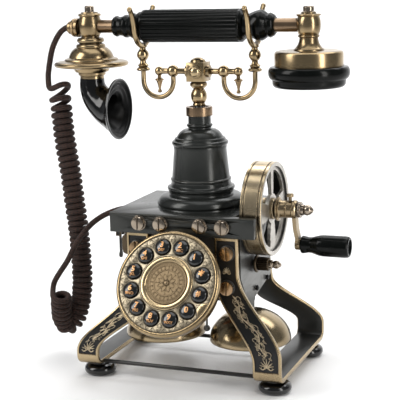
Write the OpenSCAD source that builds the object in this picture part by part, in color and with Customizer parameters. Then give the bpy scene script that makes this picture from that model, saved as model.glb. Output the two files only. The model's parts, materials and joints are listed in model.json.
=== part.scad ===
// Desk telephone of the open-frame kind: box and turret on two looped band legs, a fork cradle with
// a horn handset, a push-button dial plate, two gongs and a crank with a flywheel. Millimetres, z up,
// the dial faces -y. Shapes are drawn about the turret axis and then moved by the shift values.

/* [Box] */
// Width of the box over x
box_w = 132; // [110:1:160]
// Depth of the box over y
box_d = 104; // [80:1:130]
// Height of the box
box_h = 17.3; // [12:0.1:30]
// Height of the top of the box above the ground
box_top = 148; // [130:0.5:170]
// Thickness of the box sheet
sheet = 2.5; // [1:0.1:4]
// Distance of the front and back notch walls from the shaft plane
notch_half = 44; // [42:0.5:47]
// Inner edge of the flywheel notch in x
notch_x = 46; // [40:0.5:50]

/* [Legs] */
// Thickness of the leg band
band_t = 4; // [2:0.1:6]
// Underside of the bottom bar
bar_z = 11.5; // [8:0.1:16]
// Right front band, outer edge: x at the box, x at the foot, start and height of the flare
right_outer = [51, 93, 100, 66];
// Right front band, inner edge
right_inner = [30, 68, 94, 66];
// Left front band, outer edge
left_outer = [51, 96, 80.5, 56.5];
// Left front band, inner edge
left_inner = [30, 75, 73, 48.5];
// Back bands, outer edge without its foot value: x at the box, start and height of the flare
back_outer = [47, 71, 43];
// Back bands, inner edge without its foot value
back_inner = [29, 53, 25];
// Half distance between front and back band at the box
leg_y_top = 51; // [45:0.5:55]
// Half distance between front and back band at the foot
leg_y_foot = 68; // [60:0.5:75]
// Radius of a foot
foot_r = 14.2; // [10:0.1:18]
// Foot centre in x
foot_x = 82; // [70:0.5:90]
// Foot centre in y
foot_y = 50; // [40:0.5:60]

/* [Dial] */
// Radius of the button circle
button_circle = 31.7; // [26:0.1:34]
// Radius of a button
button_r = 6.7; // [5:0.1:8]
// Travel of a button
button_travel = 2; // [1:0.1:3]
// Outer radius of the dial housing
dial_r = 46; // [42:0.1:50]
// Tilt of the dial from upright
dial_tilt = 30; // [10:1:45]
// Dial centre in y
dial_y = -85; // [-95:0.5:-75]
// Dial centre in z
dial_z = 98; // [90:0.5:110]

/* [Handset] */
// Height of the handset axis
axis_z = 305; // [290:0.5:320]
// Radius of the grip over the flutes
grip_r = 14.2; // [12:0.1:17]
// Left end of the grip
grip_x0 = -51.5; // [-60:0.5:-45]
// Right end of the grip
grip_x1 = 43.5; // [40:0.5:60]
// Number of flutes
flutes = 26; // [12:1:36]
// Mouthpiece column in x
mouth_x = -102.8; // [-110:0.1:-90]
// Receiver column in x
ear_x = 99.6; // [90:0.1:110]

/* [Cradle] */
// Fork position in x on both sides
fork_x = 52; // [45:0.5:60]
// Radius of the hook stem
stem_r = 4; // [3:0.1:5]
// Running clearance of sliding and turning pieces
run = 0.06; // [0.02:0.01:0.1]

/* [Crank] */
// Height of the crank shaft
shaft_z = 147.4; // [140:0.1:155]
// Radius of the crank shaft
shaft_r = 3.5; // [2:0.1:5]
// Radius of the flywheel
wheel_r = 41; // [35:0.5:42]
// Left face of the flywheel
wheel_x0 = 49.5; // [48:0.1:52]
// Right face of the flywheel
wheel_x1 = 68.5; // [60:0.1:72]
// Distance of the handle pin from the shaft
crank_radius = 30.5; // [25:0.5:36]
// Outer end of the handle
handle_x1 = 134.5; // [125:0.5:140]

/* [Gongs] */
// Outer radius of a gong
gong_r = 36.5; // [30:0.5:40]
// Height of a gong
gong_h = 28; // [20:0.5:32]
// Height of the gong rim
gong_z = 27.3; // [20:0.1:40]
// Centre of the right gong
gong_right_x = 43.5; // [40:0.1:46]
// Centre of the left gong
gong_left_x = -38; // [-46:0.1:-36]

/* [Hidden] */
$fn = 64;
shift_x = 0.65;
shift_y = 19.5;
box_bottom = box_top - box_h;
tray_t = 2;
rod_r = 1.8;
nut_h = 4;
panel_angle = -29.4;
rod_z = bar_z + band_t / 2;
screw_heights = [117.7, 88];
dial_depth = 26;
plate_x = 46.6;
plate_t = 1.6;
knob_z = 97.2;
fork_r = grip_r + 0.55;
bar_low = 62;
horn_bend_r = 25;
lever_x = -61.9;
lever_y = -40;
lever_z = 127.6;
clapper_x = 2.75;
clapper_z = 68.6;
first_angle = 105.6;

// Ease between 0 and 1
function ease(s) = let (c = max(0, min(1, s))) c * c * (3 - 2 * c);

// Edge of a leg band over z, seen from the front: [x at the box, x at the foot, start, height]
function band_edge(e, z) = e[0] + (e[1] - e[0]) * ease((e[2] - z) / e[3]);

// Back band edge that ends at the same foot as the front band edge
function back_edge(back, front) = [back[0], front[1], back[1], back[2]];

// Outer surface of the leg over z, seen from the side
function side_out(z) = leg_y_top + (leg_y_foot - leg_y_top) * ease((100 - z) / 66);

// Inner surface of the leg over z, the band thickness measured square to the curve
function side_in(z) = side_out(z)
    - band_t * sqrt(1 + pow((side_out(z - 0.5) - side_out(z + 0.5)), 2));

// Screw position in x on the front (-1) or back (1) band
function screw_x(side) = side < 0 ? 41.5 : 38;

// Corner points of an arc
function arc(cx, cy, r, a0, a1, n) = [for (i = [0 : n]) let (a = a0 + (a1 - a0) * i / n)
    [cx + r * cos(a), cy + r * sin(a)]];

// Moves a part drawn about the turret axis to its place
module place() {
    translate([shift_x, shift_y, 0]) children();
}

// Turns a part drawn along z so that it lies along x
module along_x() {
    rotate([0, 90, 0]) children();
}

// Body turned from a half profile of [radius, height] points
module lathe(points) {
    rotate_extrude() polygon(points);
}

// Copies the children to both sides of the x = 0 plane
module both_sides() {
    children();
    mirror([1, 0, 0]) children();
}

// Puts children in dial coordinates: x right, y up the dial, z out of the face
module on_dial() {
    place() translate([0, dial_y, dial_z]) rotate([90 - dial_tilt, 0, 0]) children();
}

// ---- box, tray and turret ----

module notch() {
    translate([notch_x, -notch_half, box_bottom - 1]) cube([box_w, 2 * notch_half, box_h + 2]);
}

// Sheet cover, open below, with the notch for the flywheel and holes for the pieces on it
module top_box() {
    color("#2e302e") place() difference() {
        translate([-box_w / 2, -box_d / 2, box_bottom]) cube([box_w, box_d, box_h]);
        difference() {
            translate([-box_w / 2 + sheet, -box_d / 2 + sheet, box_bottom - 1])
                cube([box_w - 2 * sheet, box_d - 2 * sheet, box_h - sheet + 1]);
            translate([notch_x - sheet, -notch_half - sheet, box_bottom - 2])
                cube([box_w, 2 * (notch_half + sheet), box_h + 2]);
        }
        notch();
        translate([0, 0, box_top - 5]) cylinder(r = 8, h = 10);
        translate([-box_w / 2 - 1, 8, 139.5]) along_x() cylinder(r = 3.2, h = 5);
        translate([-8, box_d / 2 - 5, box_bottom + 2.5]) cube([16, 10, 11]);
        translate([notch_x - 7, -12, box_bottom - 1]) cube([8, 24, box_h + 2]);
        for (x = [-38, -18, 18, 38])
            translate([x, -box_d / 2 + 5, 140]) rotate([90, 0, 0]) cylinder(r = 2.5, h = 10);
    }
}

// Bottom sheet of the box
module tray() {
    color("#3a3c3a") place() difference() {
        translate([-box_w / 2 + sheet, -box_d / 2 + sheet, box_bottom])
            cube([box_w - 2 * sheet, box_d - 2 * sheet, tray_t]);
        translate([notch_x - sheet, -notch_half - sheet, box_bottom - 1])
            cube([box_w, 2 * (notch_half + sheet), 5]);
        translate([notch_x - 7, -12, box_bottom - 1]) cube([8, 24, 5]);
    }
}

// Four slotted screws with washers on the front of the box
module box_screws() {
    color("#8a7b6d") place() for (x = [-38, -18, 18, 38])
        translate([x, -box_d / 2, 140]) rotate([90, 0, 0]) difference() {
            union() {
                translate([0, 0, -2.5]) cylinder(r = 2.5, h = 3);
                cylinder(r = 6.6, h = 1);
                cylinder(r = 5.6, h = 4.2);
            }
            translate([-0.7, -6, 3]) cube([1.4, 12, 3]);
        }
}

// Hollow turret: bulging foot, beads, slightly tapered body, ridge, stepped shoulder, flange and neck
module turret() {
    outer = [
        [38.6, box_top], [38.2, box_top + 1.2], [38.9, 150.4], [38.8, 152], [37.4, 154.9], [34.8, 157.3],
        [31.5, 158.5], [28.8, 158.8], [28.4, 159.7], [28.7, 161.6], [29.6, 162.8], [29.9, 164.2],
        [29.4, 165.2], [27.8, 165.6], [26.9, 166.6], [26.3, 169.2], [26.4, 170.4], [26.8, 171.4],
        [26.5, 172.4], [25.6, 173], [23.2, 198.2], [23.6, 200.2], [23.4, 201.2], [24.5, 202.2],
        [24.9, 203.8], [24.3, 205.2], [22.9, 205.8], [22.6, 206.9], [21.8, 208.1], [20.7, 208.4],
        [19.4, 210.6], [17.1, 213.4], [13.9, 215.3], [10.1, 216], [10.1, 217.2], [11, 217.8],
        [11.5, 218.9], [11, 219.9], [10, 220.4], [10, 227.5]];
    inner = [[stem_r + run, 227.5], [stem_r + run, 208], [18, 200], [22, 176], [22, box_top]];
    color("#2e302e") place() lathe(concat(outer, inner));
}

// Plain bronze guide ring on the turret neck
module turret_collar() {
    color("#8a6b45") place() lathe([
        [stem_r + run, 227.5], [11, 227.5], [11.6, 228.1], [11.6, 234.4], [11, 235], [8.6, 235.2],
        [8, 234.2], [stem_r + run, 234.2]]);
}

// Bearing block of the crank shaft, standing in the slot of the box
module shaft_bearing() {
    color("#3a3c3a") place() difference() {
        translate([notch_x - 7, -12, box_bottom]) cube([8, 24, box_h]);
        translate([notch_x - 8, 0, shaft_z]) along_x() cylinder(r = shaft_r + run, h = 12);
    }
    color("#3a3c3a") place() difference() {
        translate([notch_x - 7, 0, shaft_z]) along_x() cylinder(r = 9, h = 8);
        translate([notch_x - 8, 0, shaft_z]) along_x() cylinder(r = shaft_r + run, h = 12);
        translate([notch_x - 8, -12, box_bottom]) cube([10, 24, box_h]);
    }
}

// Ring where the handset cord enters the left wall
module cord_gland() {
    color("#1d1d1d") place() translate([-box_w / 2, 8, 139.5]) rotate([0, -90, 0])
        lathe([[2.4, -sheet], [3.2, -sheet], [3.2, 0], [5, 0], [4.4, 2.6], [3.4, 3.4], [2.4, 3.4]]);
}

// Line socket in the back wall
module line_jack() {
    color("#1d1d1d") place() difference() {
        translate([-8, box_d / 2 - 13, box_bottom + 2.5]) cube([16, 13.8, 11]);
        translate([-5.5, box_d / 2 - 10, box_bottom + 4.5]) cube([11, 12, 7]);
    }
}

// Main circuit board on four spacers, with the hook switch under the stem
module circuit_board() {
    color("#2c5a35") place() {
        translate([-56, -38, box_bottom + 5]) cube([84, 70, 1.6]);
        for (x = [-50, 22], y = [-32, 26])
            translate([x, y, box_bottom + tray_t]) cylinder(r = 2.5, h = 3.2, $fn = 24);
        for (x = [-46, -26, 10])
            translate([x, 12, box_bottom + 6.5]) cylinder(r = 4, h = 6, $fn = 24);
        translate([-44, -26, box_bottom + 6.5]) cube([16, 9, 2.5]);
        translate([-6, -4, box_bottom + 6.5]) cube([12, 8, 3.3]);
    }
}

// ---- legs ----

// Loop of one leg seen from the side, open at the top
module leg_side_profile() {
    zs = [for (i = [0 : 16]) box_bottom - (box_bottom - 24) * i / 16];
    corner = 9;
    outer_half = concat(
        [for (z = zs) [side_out(z), z]],
        arc(leg_y_foot - corner, bar_z + corner, corner, 0, -90, 6));
    inner_half = concat(
        [for (z = zs) [side_in(z), z]],
        arc(leg_y_foot - corner, bar_z + corner, corner - band_t, 0, -90, 6));
    n = len(outer_half);
    polygon(concat(
        outer_half,
        [for (i = [n - 1 : -1 : 0]) [-outer_half[i][0], outer_half[i][1]]],
        [for (i = [0 : n - 1]) [-inner_half[i][0], inner_half[i][1]]],
        [for (i = [n - 1 : -1 : 0]) inner_half[i]]));
}

// Front view of one band between its two edges
module band_profile(outer, inner) {
    zs = [for (i = [0 : 20]) box_bottom - (box_bottom - bar_z) * i / 20];
    polygon(concat(
        [for (z = zs) [band_edge(outer, z), z]],
        [for (i = [20 : -1 : 0]) [band_edge(inner, zs[i]), zs[i]]]));
}

// Front or back half of a leg, from the middle of its bar outwards
module half_leg(outer, inner) {
    intersection() {
        rotate([90, 0, 90]) linear_extrude(height = 110) leg_side_profile();
        rotate([90, 0, 0]) linear_extrude(height = 80) band_profile(outer, inner);
    }
}

module leg(outer, inner) {
    difference() {
        union() {
            half_leg(outer, inner);
            mirror([0, 1, 0]) half_leg(back_edge(back_outer, outer), back_edge(back_inner, inner));
        }
        for (side = [-1, 1], z = screw_heights)
            translate([screw_x(side), side * 45, z]) rotate([-90 * side, 0, 0]) cylinder(r = 2.2, h = 15);
    }
}

module leg_right() {
    color("#6a5636") place() leg(right_outer, right_inner);
}

module leg_left() {
    color("#6a5636") place() mirror([1, 0, 0]) leg(left_outer, left_inner);
}

// Slotted screws that hold the legs, four in front and four behind
module leg_screws() {
    color("#8a6b45") place() for (mx = [-1, 1], side = [-1, 1], z = screw_heights)
        translate([mx * screw_x(side), side * side_out(z), z])
            rotate([-90 * side, 0, 0]) difference() {
                union() {
                    translate([0, 0, -3.5]) cylinder(r = 2.2, h = 4.5);
                    translate([0, 0, 0.5]) cylinder(r = 6, h = 2.6);
                }
                translate([-0.7, -7, 2.1]) cube([1.4, 14, 2]);
            }
}

// Four round feet with narrow necks
module feet() {
    color("#151515") place() for (sx = [-1, 1], sy = [-1, 1])
        translate([sx * foot_x, sy * foot_y, 0]) lathe(concat(
            [[0, 0], [foot_r - 4, 0]],
            arc(foot_r - 4.4, 4.4, 4.4, -75, 80, 8),
            [[9, 9.2], [8.4, 10], [8.4, bar_z], [0, bar_z]]));
}

// Cross rods between the bottom bars, one in front and one behind
module cross_rods() {
    color("#3a3c3a") place() for (y = [-56, 36])
        translate([-left_inner[1], y, rod_z]) along_x() cylinder(r = rod_r, h = left_inner[1] + right_inner[1]);
}

// Steel plate that carries the volume knob
module side_plate() {
    outline = [
        [-36, box_bottom], [-36, 92], [-18, 66], [-18, 58], [-1, 58], [-1, 66], [46.5, 76],
        [46.5, box_bottom]];
    color("#8b8b88") place() difference() {
        translate([plate_x, 0, 0]) rotate([90, 0, 90]) linear_extrude(height = plate_t) polygon(outline);
        for (p = [[32.5, 76], [3, 74]])
            translate([plate_x - 1, p[0], p[1]]) along_x() cylinder(r = 2.2, h = 5, $fn = 24);
        translate([plate_x - 1, 0, knob_z]) along_x() cylinder(r = 2.5 + run, h = 5);
    }
}

// ---- gongs ----

// Domed gong, hollow below
module gong(x) {
    t = 1.8;
    outer = [for (i = [0 : 12]) let (a = 90 * i / 12) [gong_r * cos(a), gong_h * sin(a)]];
    inner = [for (i = [12 : -1 : 0]) let (a = 90 * i / 12) [(gong_r - t) * cos(a), (gong_h - t) * sin(a)]];
    color("#9a7b4a") place() translate([x, 0, gong_z]) difference() {
        lathe(concat(outer, inner));
        translate([0, 0, gong_h - 5]) cylinder(r = 3, h = 8);
    }
}

module gong_left() { gong(gong_left_x); }
module gong_right() { gong(gong_right_x); }

module gong_nuts() {
    color("#8a7b6d") place() for (x = [gong_left_x, gong_right_x])
        translate([x, 0, gong_z + gong_h - nut_h - 1.8]) difference() {
            cylinder(r = 5.5, h = nut_h, $fn = 6);
            translate([0, 0, -1]) cylinder(r = 3, h = 9);
        }
}

// Hanger below the tray: two columns, a cross bar, the gong pins and the striker pin
module ringer_frame() {
    color("#3a3c3a") place() {
        difference() {
            translate([gong_left_x - 6, -6, bar_low]) cube([gong_right_x - gong_left_x + 9, 12, 4]);
            translate([clapper_x - 3, -8, bar_low - 2]) cube([6, 9.5, 8]);
        }
        for (x = [-26, 31])
            translate([x, 0, bar_low + 3]) cylinder(r = 3.5, h = box_bottom - bar_low - 3);
        for (x = [gong_left_x, gong_right_x])
            translate([x, 0, 47]) cylinder(r = 3, h = bar_low - 46);
        translate([clapper_x - 4, 2, bar_low + 3]) cube([8, 3, 9]);
        translate([clapper_x, 3, clapper_z]) rotate([90, 0, 0]) cylinder(r = 1, h = 8);
    }
}

// Two coils with end plates on the cross bar
module ringer_coils() {
    color("#7a3b1e") place() for (x = [-12, 17])
        translate([x, 0, bar_low + 4]) lathe([
            [0, 0], [8, 0], [8, 1.5], [6.8, 1.5], [6.8, 24.5], [8, 24.5], [8, 26], [0, 26]]);
}

// Striker rod and ball between the gongs
module clapper() {
    color("#8b8b88") place() translate([clapper_x, -2, 0]) {
        translate([0, 2.5, clapper_z]) rotate([90, 0, 0]) difference() {
            cylinder(r = 2.4, h = 5);
            translate([0, 0, -1]) cylinder(r = 1 + run, h = 7);
        }
        translate([0, 0, 34]) cylinder(r = 1, h = clapper_z - 34 - 1.6);
        translate([0, 0, 34]) sphere(r = 3);
    }
}

// ---- dial ----

// Cup behind the dial face
module dial_housing() {
    color("#6a5636") on_dial() lathe([
        [0, -dial_depth], [24, -dial_depth], [33, -24], [39, -20], [42.6, -15], [44.9, -9], [45.8, -4.4],
        [dial_r, -3], [dial_r - 0.6, -0.8], [dial_r - 2, 0], [42.6, 0], [42.6, -3.2], [40.4, -3.2],
        [39.6, -12], [36.5, -17.5], [31, -21.5], [23.5, -23.5], [0, -23.5]]);
}

// Side view of a point on the back of the cup: up the dial, and out behind its face
function behind_dial(up, depth) = [
    dial_y + up * sin(dial_tilt) + depth * cos(dial_tilt),
    dial_z + up * cos(dial_tilt) - depth * sin(dial_tilt)];

// Strut from the cup to the tray, and the apron under the box that it is fixed to
module dial_bracket() {
    t = 3;
    bend = behind_dial(33.6, 24.4);
    outline = [
        behind_dial(-12, dial_depth), behind_dial(23, dial_depth), bend, [bend[0] + 0.4, box_bottom],
        [bend[0] + 0.4 + t, box_bottom], [bend[0] + t, bend[1] - 1], behind_dial(22, dial_depth + t),
        behind_dial(-12, dial_depth + t)];
    color("#2e302e") place() {
        translate([-13, 0, 0]) rotate([90, 0, 90]) linear_extrude(height = 26) polygon(outline);
        translate([-40, bend[0] + 0.4, box_bottom - 23]) cube([80, 2, 23]);
    }
}

// Places children on button position i
module at_button(i) {
    a = first_angle - 30 * i;
    translate([button_circle * cos(a), button_circle * sin(a), 0]) children();
}

// Face plate with one hole for each button
module dial_face() {
    color("#b59a6a") on_dial() difference() {
        translate([0, 0, -3.2]) cylinder(r = 42.6, h = 3.2, $fn = 96);
        for (i = [0 : 11])
            at_button(i) translate([0, 0, -4]) cylinder(r = button_r + 0.3, h = 6, $fn = 32);
        translate([0, 0, -4]) cylinder(r = 20.5, h = 6);
    }
}

// Raised ring around the medallion and the smooth raised panel at the lower right
module dial_trim() {
    color("#c8a868") on_dial() {
        lathe([
            [18.2, -3.2], [20.5, -3.2], [20.5, 0], [23.6, 0], [23.2, 1], [21.6, 1.6], [19.4, 1.4], [18.2, 0.6]]);
        rotate([0, 0, panel_angle]) linear_extrude(height = 0.6)
            polygon(concat(arc(0, 0, 42.4, -10, 10, 6), arc(0, 0, 36.5, 4.5, -4.5, 4)));
    }
}

// Slightly domed centre plate
module medallion() {
    color("#a88c58") on_dial() lathe([
        [0, -3], [18.2, -3], [18.2, 0.2], [17, 0.6], [15.6, 0.3], [12, 0.7], [6, 1], [0, 1.1]]);
}

// Rubber mat and contact board under the buttons
module keypad_mat() {
    color("#4a4a4a") on_dial() difference() {
        translate([0, 0, -10.6]) cylinder(r = 38.4, h = 2.2);
        translate([0, 0, -12]) cylinder(r = 16, h = 5);
    }
}

// One domed button with its retaining flange
module button(i) {
    color("#121212") on_dial() at_button(i) lathe([
        [0, -6], [5, -6], [5, -5], [button_r + 1.1, -5], [button_r + 1.1, -3.6], [button_r, -3.6],
        [button_r, 0.9], [6.1, 1.9], [4.6, 2.8], [2.4, 3.4], [0, 3.6]]);
}

module button_3() { button(0); }
module button_2() { button(1); }
module button_1() { button(2); }
module button_star() { button(3); }
module button_hash() { button(4); }
module button_0() { button(5); }
module button_9() { button(6); }
module button_8() { button(7); }
module button_7() { button(8); }
module button_6() { button(9); }
module button_5() { button(10); }
module button_4() { button(11); }

// ---- small pieces on the left ----

// Flat lever with a rounded end, hanging on its pin below the tray
module side_lever() {
    color("#151515") place() translate([lever_x, lever_y, 0]) {
        translate([-0.6, -1.5, 108]) cube([1.2, 3, lever_z - 108]);
        translate([-0.6, 0, 108]) along_x() cylinder(r = 3, h = 1.2, $fn = 32);
        translate([0, 3.6, lever_z]) rotate([90, 0, 0]) cylinder(r = 1.5, h = 7.2, $fn = 32);
    }
}

// Oval plate beside the lever, with the two ears that hold the lever pin
module lever_guard() {
    color("#8a6b45") place() {
        translate([-55.6, lever_y + 1, 117]) rotate([90, 0, 0]) linear_extrude(height = 2) {
            translate([0, -4]) circle(r = 4.5);
            translate([-4.5, -4]) square([9, 9]);
            translate([0, 5]) circle(r = 4.5);
        }
        translate([-57, lever_y - 1, 121]) cube([3, 2, box_bottom - 121]);
        for (y = [lever_y - 4.2, lever_y + 2.4])
            difference() {
                translate([lever_x - 2.4, y, lever_z - 2.4]) cube([4.8, 1.8, box_bottom - lever_z + 2.4]);
                translate([lever_x, y + 3, lever_z]) rotate([90, 0, 0]) cylinder(r = 1.5 + run, h = 5, $fn = 32);
            }
    }
}

// ---- cradle ----

// Guided rod of the hook
module stem() {
    color("#8b8b88") place() translate([0, 0, 141]) cylinder(r = stem_r, h = 98);
}

// Cube hub with its ball, cone rings and bosses
module cradle_hub() {
    color("#b59a6a") place() {
        difference() {
            union() {
                lathe([
                    [0, 235.8], [5.2, 235.8], [5.8, 236.8], [4.9, 238.4],
                    [5.8, 239.4], [6.9, 242], [7.1, 244.3], [6.9, 246.6], [5.6, 249.4], [4.6, 250.6],
                    [6.4, 252.2], [7.6, 253.6], [7.6, 255.2], [5.4, 257.6], [0, 257.6]]);
                translate([-8.2, -8.2, 257.3]) cube([16.4, 16.4, 16.5]);
                translate([0, 0, 273.6]) lathe([[0, 0], [7.2, 0], [6, 2.2], [3.2, 3.9], [0, 4.4]]);
                translate([0, 0, 265.8]) rotate([90, 0, 0]) cylinder(r = 6, h = 19, center = true);
                translate([-11, 0, 265.8]) along_x() cylinder(r = 5.2, h = 22);
            }
            translate([0, 0, 235]) cylinder(r = stem_r, h = 4);
        }
    }
}

// Arm on one side: ball, U-shaped tube, end ball and the stand of the fork
module cradle_arm() {
    u = 14.2;
    translate([11, 0, 265.8]) along_x() cylinder(r = 2.6, h = 24);
    translate([23.6, 0, 265.8]) sphere(r = 5.3);
    translate([36.8, 0, 265.8]) sphere(r = 4);
    translate([23.6, 0, 257]) cylinder(r = 2.2, h = 8);
    translate([fork_x, 0, 257]) cylinder(r = 2.2, h = 10);
    translate([23.6 + u, 0, 257]) rotate([90, 0, 0]) rotate_extrude(angle = 180, start = 180)
        translate([u, 0]) circle(r = 2.2, $fn = 24);
    translate([fork_x, 0, 0]) lathe([
        [0, 265.5], [5.2, 266], [6.2, 267.2], [5.2, 268.6], [3.8, 269.4], [5, 270.8], [3, 272.6],
        [2.6, 274.8], [4, 276.4], [5.2, 278.6], [5.3, 280.6], [4.6, 282.8], [3, 284.6], [2.6, 286],
        [3.8, 286.8], [3.8, 287.6], [0, 287.6]]);
}

module cradle_arms() {
    color("#b59a6a") place() both_sides() cradle_arm();
}

// Flared fork with rounded tips that the grip lies in
module fork() {
    t = 4.4;
    inner = concat(
        arc(0, axis_z, fork_r, -90, -14, 10),
        [[16.2, axis_z + 4], [18.6, axis_z + 9.5], [22.4, axis_z + 14.2]]);
    outer = concat(
        [[26.4, axis_z + 13.2], [22.8, axis_z + 8], [20.4, axis_z + 2]],
        arc(0, axis_z, fork_r + 4.4, -20, -70, 6),
        [[0, axis_z - fork_r - 2.4]]);
    translate([-t / 2, 0, 0]) rotate([90, 0, 90]) linear_extrude(height = t) {
        polygon(concat(inner, outer));
        mirror([1, 0]) polygon(concat(inner, outer));
    }
    for (side = [-1, 1])
        translate([0, side * 25, axis_z + 15.2]) sphere(r = 2.6);
}

module cradle_forks() {
    color("#b59a6a") place() both_sides() translate([fork_x, 0, 0]) {
        fork();
        translate([0, 0, 287.6]) cylinder(r = 3, h = 1.6);
    }
}

// Drop-shaped ornaments under the end balls
module drop_finials() {
    color("#a88c58") place() both_sides() translate([36.8, 0, 0]) lathe([
        [0, 246.6], [1.3, 247], [1.8, 248.2], [1.2, 249.4], [1.3, 251], [2.4, 254.4], [3.2, 256.8],
        [3.7, 257.6], [3.7, 258.6], [2.4, 259.3], [1.4, 260.6], [1.4, 262.8], [0, 262.8]]);
}

// ---- handset ----

// Fluted grip with chamfered ends
module grip() {
    len_g = grip_x1 - grip_x0;
    color("#151515") place() translate([grip_x0, 0, axis_z]) along_x() difference() {
        lathe([
            [5.8, 0], [grip_r - 2.2, 0], [grip_r, 2.2], [grip_r, len_g - 2.2], [grip_r - 2.2, len_g],
            [5.8, len_g]]);
        for (i = [0 : flutes - 1])
            rotate([0, 0, 360 * i / flutes]) translate([grip_r + 0.35, 0, 4])
                cylinder(r = 1.35, h = len_g - 8, $fn = 16);
    }
}

// Ringed black collars beside the grip
module grip_collars() {
    color("#151515") place() {
        translate([grip_x0, 0, axis_z]) rotate([0, -90, 0]) lathe([
            [5.8, 0], [11.4, 0], [12.6, 1.6], [11.2, 4], [10.2, 6], [11.4, 7.5], [10.4, 9.5], [9.2, 12],
            [10, 14], [10, 16], [8.8, 18], [8, 22], [9.2, 24], [8.4, 26.5], [5.8, 26.5]]);
        translate([grip_x1, 0, axis_z]) along_x() lathe([
            [5.8, 0], [10, 0], [9.4, 3], [10.6, 6], [12.2, 10], [13, 13.5], [13, 16], [11.4, 18.5],
            [9.6, 21], [10.6, 23], [9, 26], [7.2, 27.5], [5.8, 27.5]]);
    }
}

// Brass tube through the grip from column to column
module handset_tube() {
    x0 = mouth_x + 9.6;
    x1 = ear_x - 8.6;
    color("#b59a6a") place() translate([x0, 0, axis_z]) along_x() difference() {
        cylinder(r = 5.8, h = x1 - x0);
        translate([0, 0, -1]) cylinder(r = 4.4, h = x1 - x0 + 2);
    }
}

// Mouthpiece column: knob, vase, rings, wide disc and stepped neck, with the cord plug on its left
module mouth_column() {
    color("#b59a6a") place() {
        translate([mouth_x, 0, 0]) difference() {
            union() {
                lathe([
                    [0, 258], [8.6, 258], [9.4, 256.4], [10.6, 256.4], [10.8, 261.4], [12.2, 262], [12.4, 264.2],
                    [14.9, 264.8], [15.8, 266.4], [16.6, 268.6], [29, 269.2], [32.2, 270], [33.2, 271.4],
                    [33, 272.8], [31.2, 274], [27.5, 274.6], [24.2, 275.2], [23.8, 276.4], [20.2, 277.6],
                    [19.2, 280.4], [17.4, 283.4], [14.6, 286], [13, 286.6], [13.1, 288.2], [12.2, 289.4],
                    [10.2, 289.9], [10.4, 290.7], [11.9, 291.4], [12.2, 293.2], [11.2, 294.8], [8.2, 295.4],
                    [8.2, 296.3], [9.4, 298.8], [10.5, 303.6], [10.6, 307.2], [9.8, 311], [8.9, 313.9],
                    [10, 314.4], [10.2, 315.4], [9.6, 316.3], [7.7, 316.8], [7.5, 317.7], [4.2, 318.2],
                    [4.2, 322.5], [3.4, 323.4], [0, 323.5]]);
                translate([-10.4, 0, 304]) rotate([0, -90, 0]) lathe([
                    [0, 0], [8.4, 0], [8.4, 2.4], [7.4, 3.2], [8.2, 4.2], [7.6, 6.4], [5.8, 7], [5.8, 9.6],
                    [3.6, 12.2], [0, 12.2]]);
            }
            translate([0, 0, 250]) cylinder(r = 6, h = 46);
        }
    }
}

// Quarter bend of the horn with the given tube radius
module horn_bend(r, angle) {
    rotate([90, 0, 0]) rotate_extrude(angle = angle, start = 180) translate([horn_bend_r, 0]) circle(r = r);
}

// Curved horn with a bell mouth facing the receiver
module horn() {
    color("#101010") place() translate([mouth_x + horn_bend_r, 0, 256.4]) difference() {
        union() {
            horn_bend(12, 72);
            translate([0, 0, -horn_bend_r]) along_x() lathe([
                [0, -13.5], [12.4, -12.5], [15, -9], [18.6, -5], [22.4, -2.2], [26, -1], [27.4, -0.2],
                [27.5, 0.6], [26.8, 1.4], [0, 1.4]]);
        }
        horn_bend(9, 76);
        translate([0, 0, -horn_bend_r]) along_x() lathe([
            [0, -11], [9.4, -10.4], [12, -7], [15.6, -3.4], [20, -0.4], [25, 0.7], [25.4, 3], [0, 3]]);
    }
}

// Receiver column: knob, vase, ring and bell foot
module ear_column() {
    color("#b59a6a") place() translate([ear_x, 0, 0]) lathe([
        [0, 284], [12.8, 284], [12.4, 285.2], [10.9, 286.6], [9, 289.6], [8.1, 292.6], [7.9, 294.6],
        [8.9, 295], [9.2, 295.7], [9, 296.4], [8.3, 296.9], [9, 298.2], [9.8, 300.6], [10.2, 304.6],
        [9.9, 309], [9, 311.9], [9.8, 312.4], [10.4, 313.2], [10, 314], [6.4, 314.6], [6.4, 315.6],
        [4.7, 316.4], [4.7, 319.6], [4, 320.6], [0, 320.8]]);
}

// Brass can of the receiver
module receiver_can() {
    color("#b59a6a") place() translate([ear_x, 0, 0]) lathe([
        [0, 284], [24.5, 284], [27.4, 283.5], [28.6, 282.6], [29, 281.2], [29, 269.5], [27, 269.5], [27, 281],
        [0, 281]]);
}

// Black cap with a bulging rim, a step below it and sound holes
module receiver_cap() {
    color("#101010") place() translate([ear_x, 0, 0]) difference() {
        lathe([
            [0, 254.8], [10, 254.8], [20, 253.4], [26, 253.2], [29, 253.8], [30.6, 255.6], [31, 258.2],
            [31.3, 259.8], [32.8, 260.8], [34, 263], [34.4, 265.6], [34, 268.4], [32.8, 270.3], [31, 271],
            [29.1, 271], [29.1, 269.5], [26, 269.5], [24, 262], [0, 262]]);
        for (i = [0 : 5])
            rotate([0, 0, 60 * i]) translate([7, 0, 250]) cylinder(r = 1.5, h = 15, $fn = 16);
        translate([0, 0, 250]) cylinder(r = 1.5, h = 15, $fn = 16);
    }
}

// ---- crank ----

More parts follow.
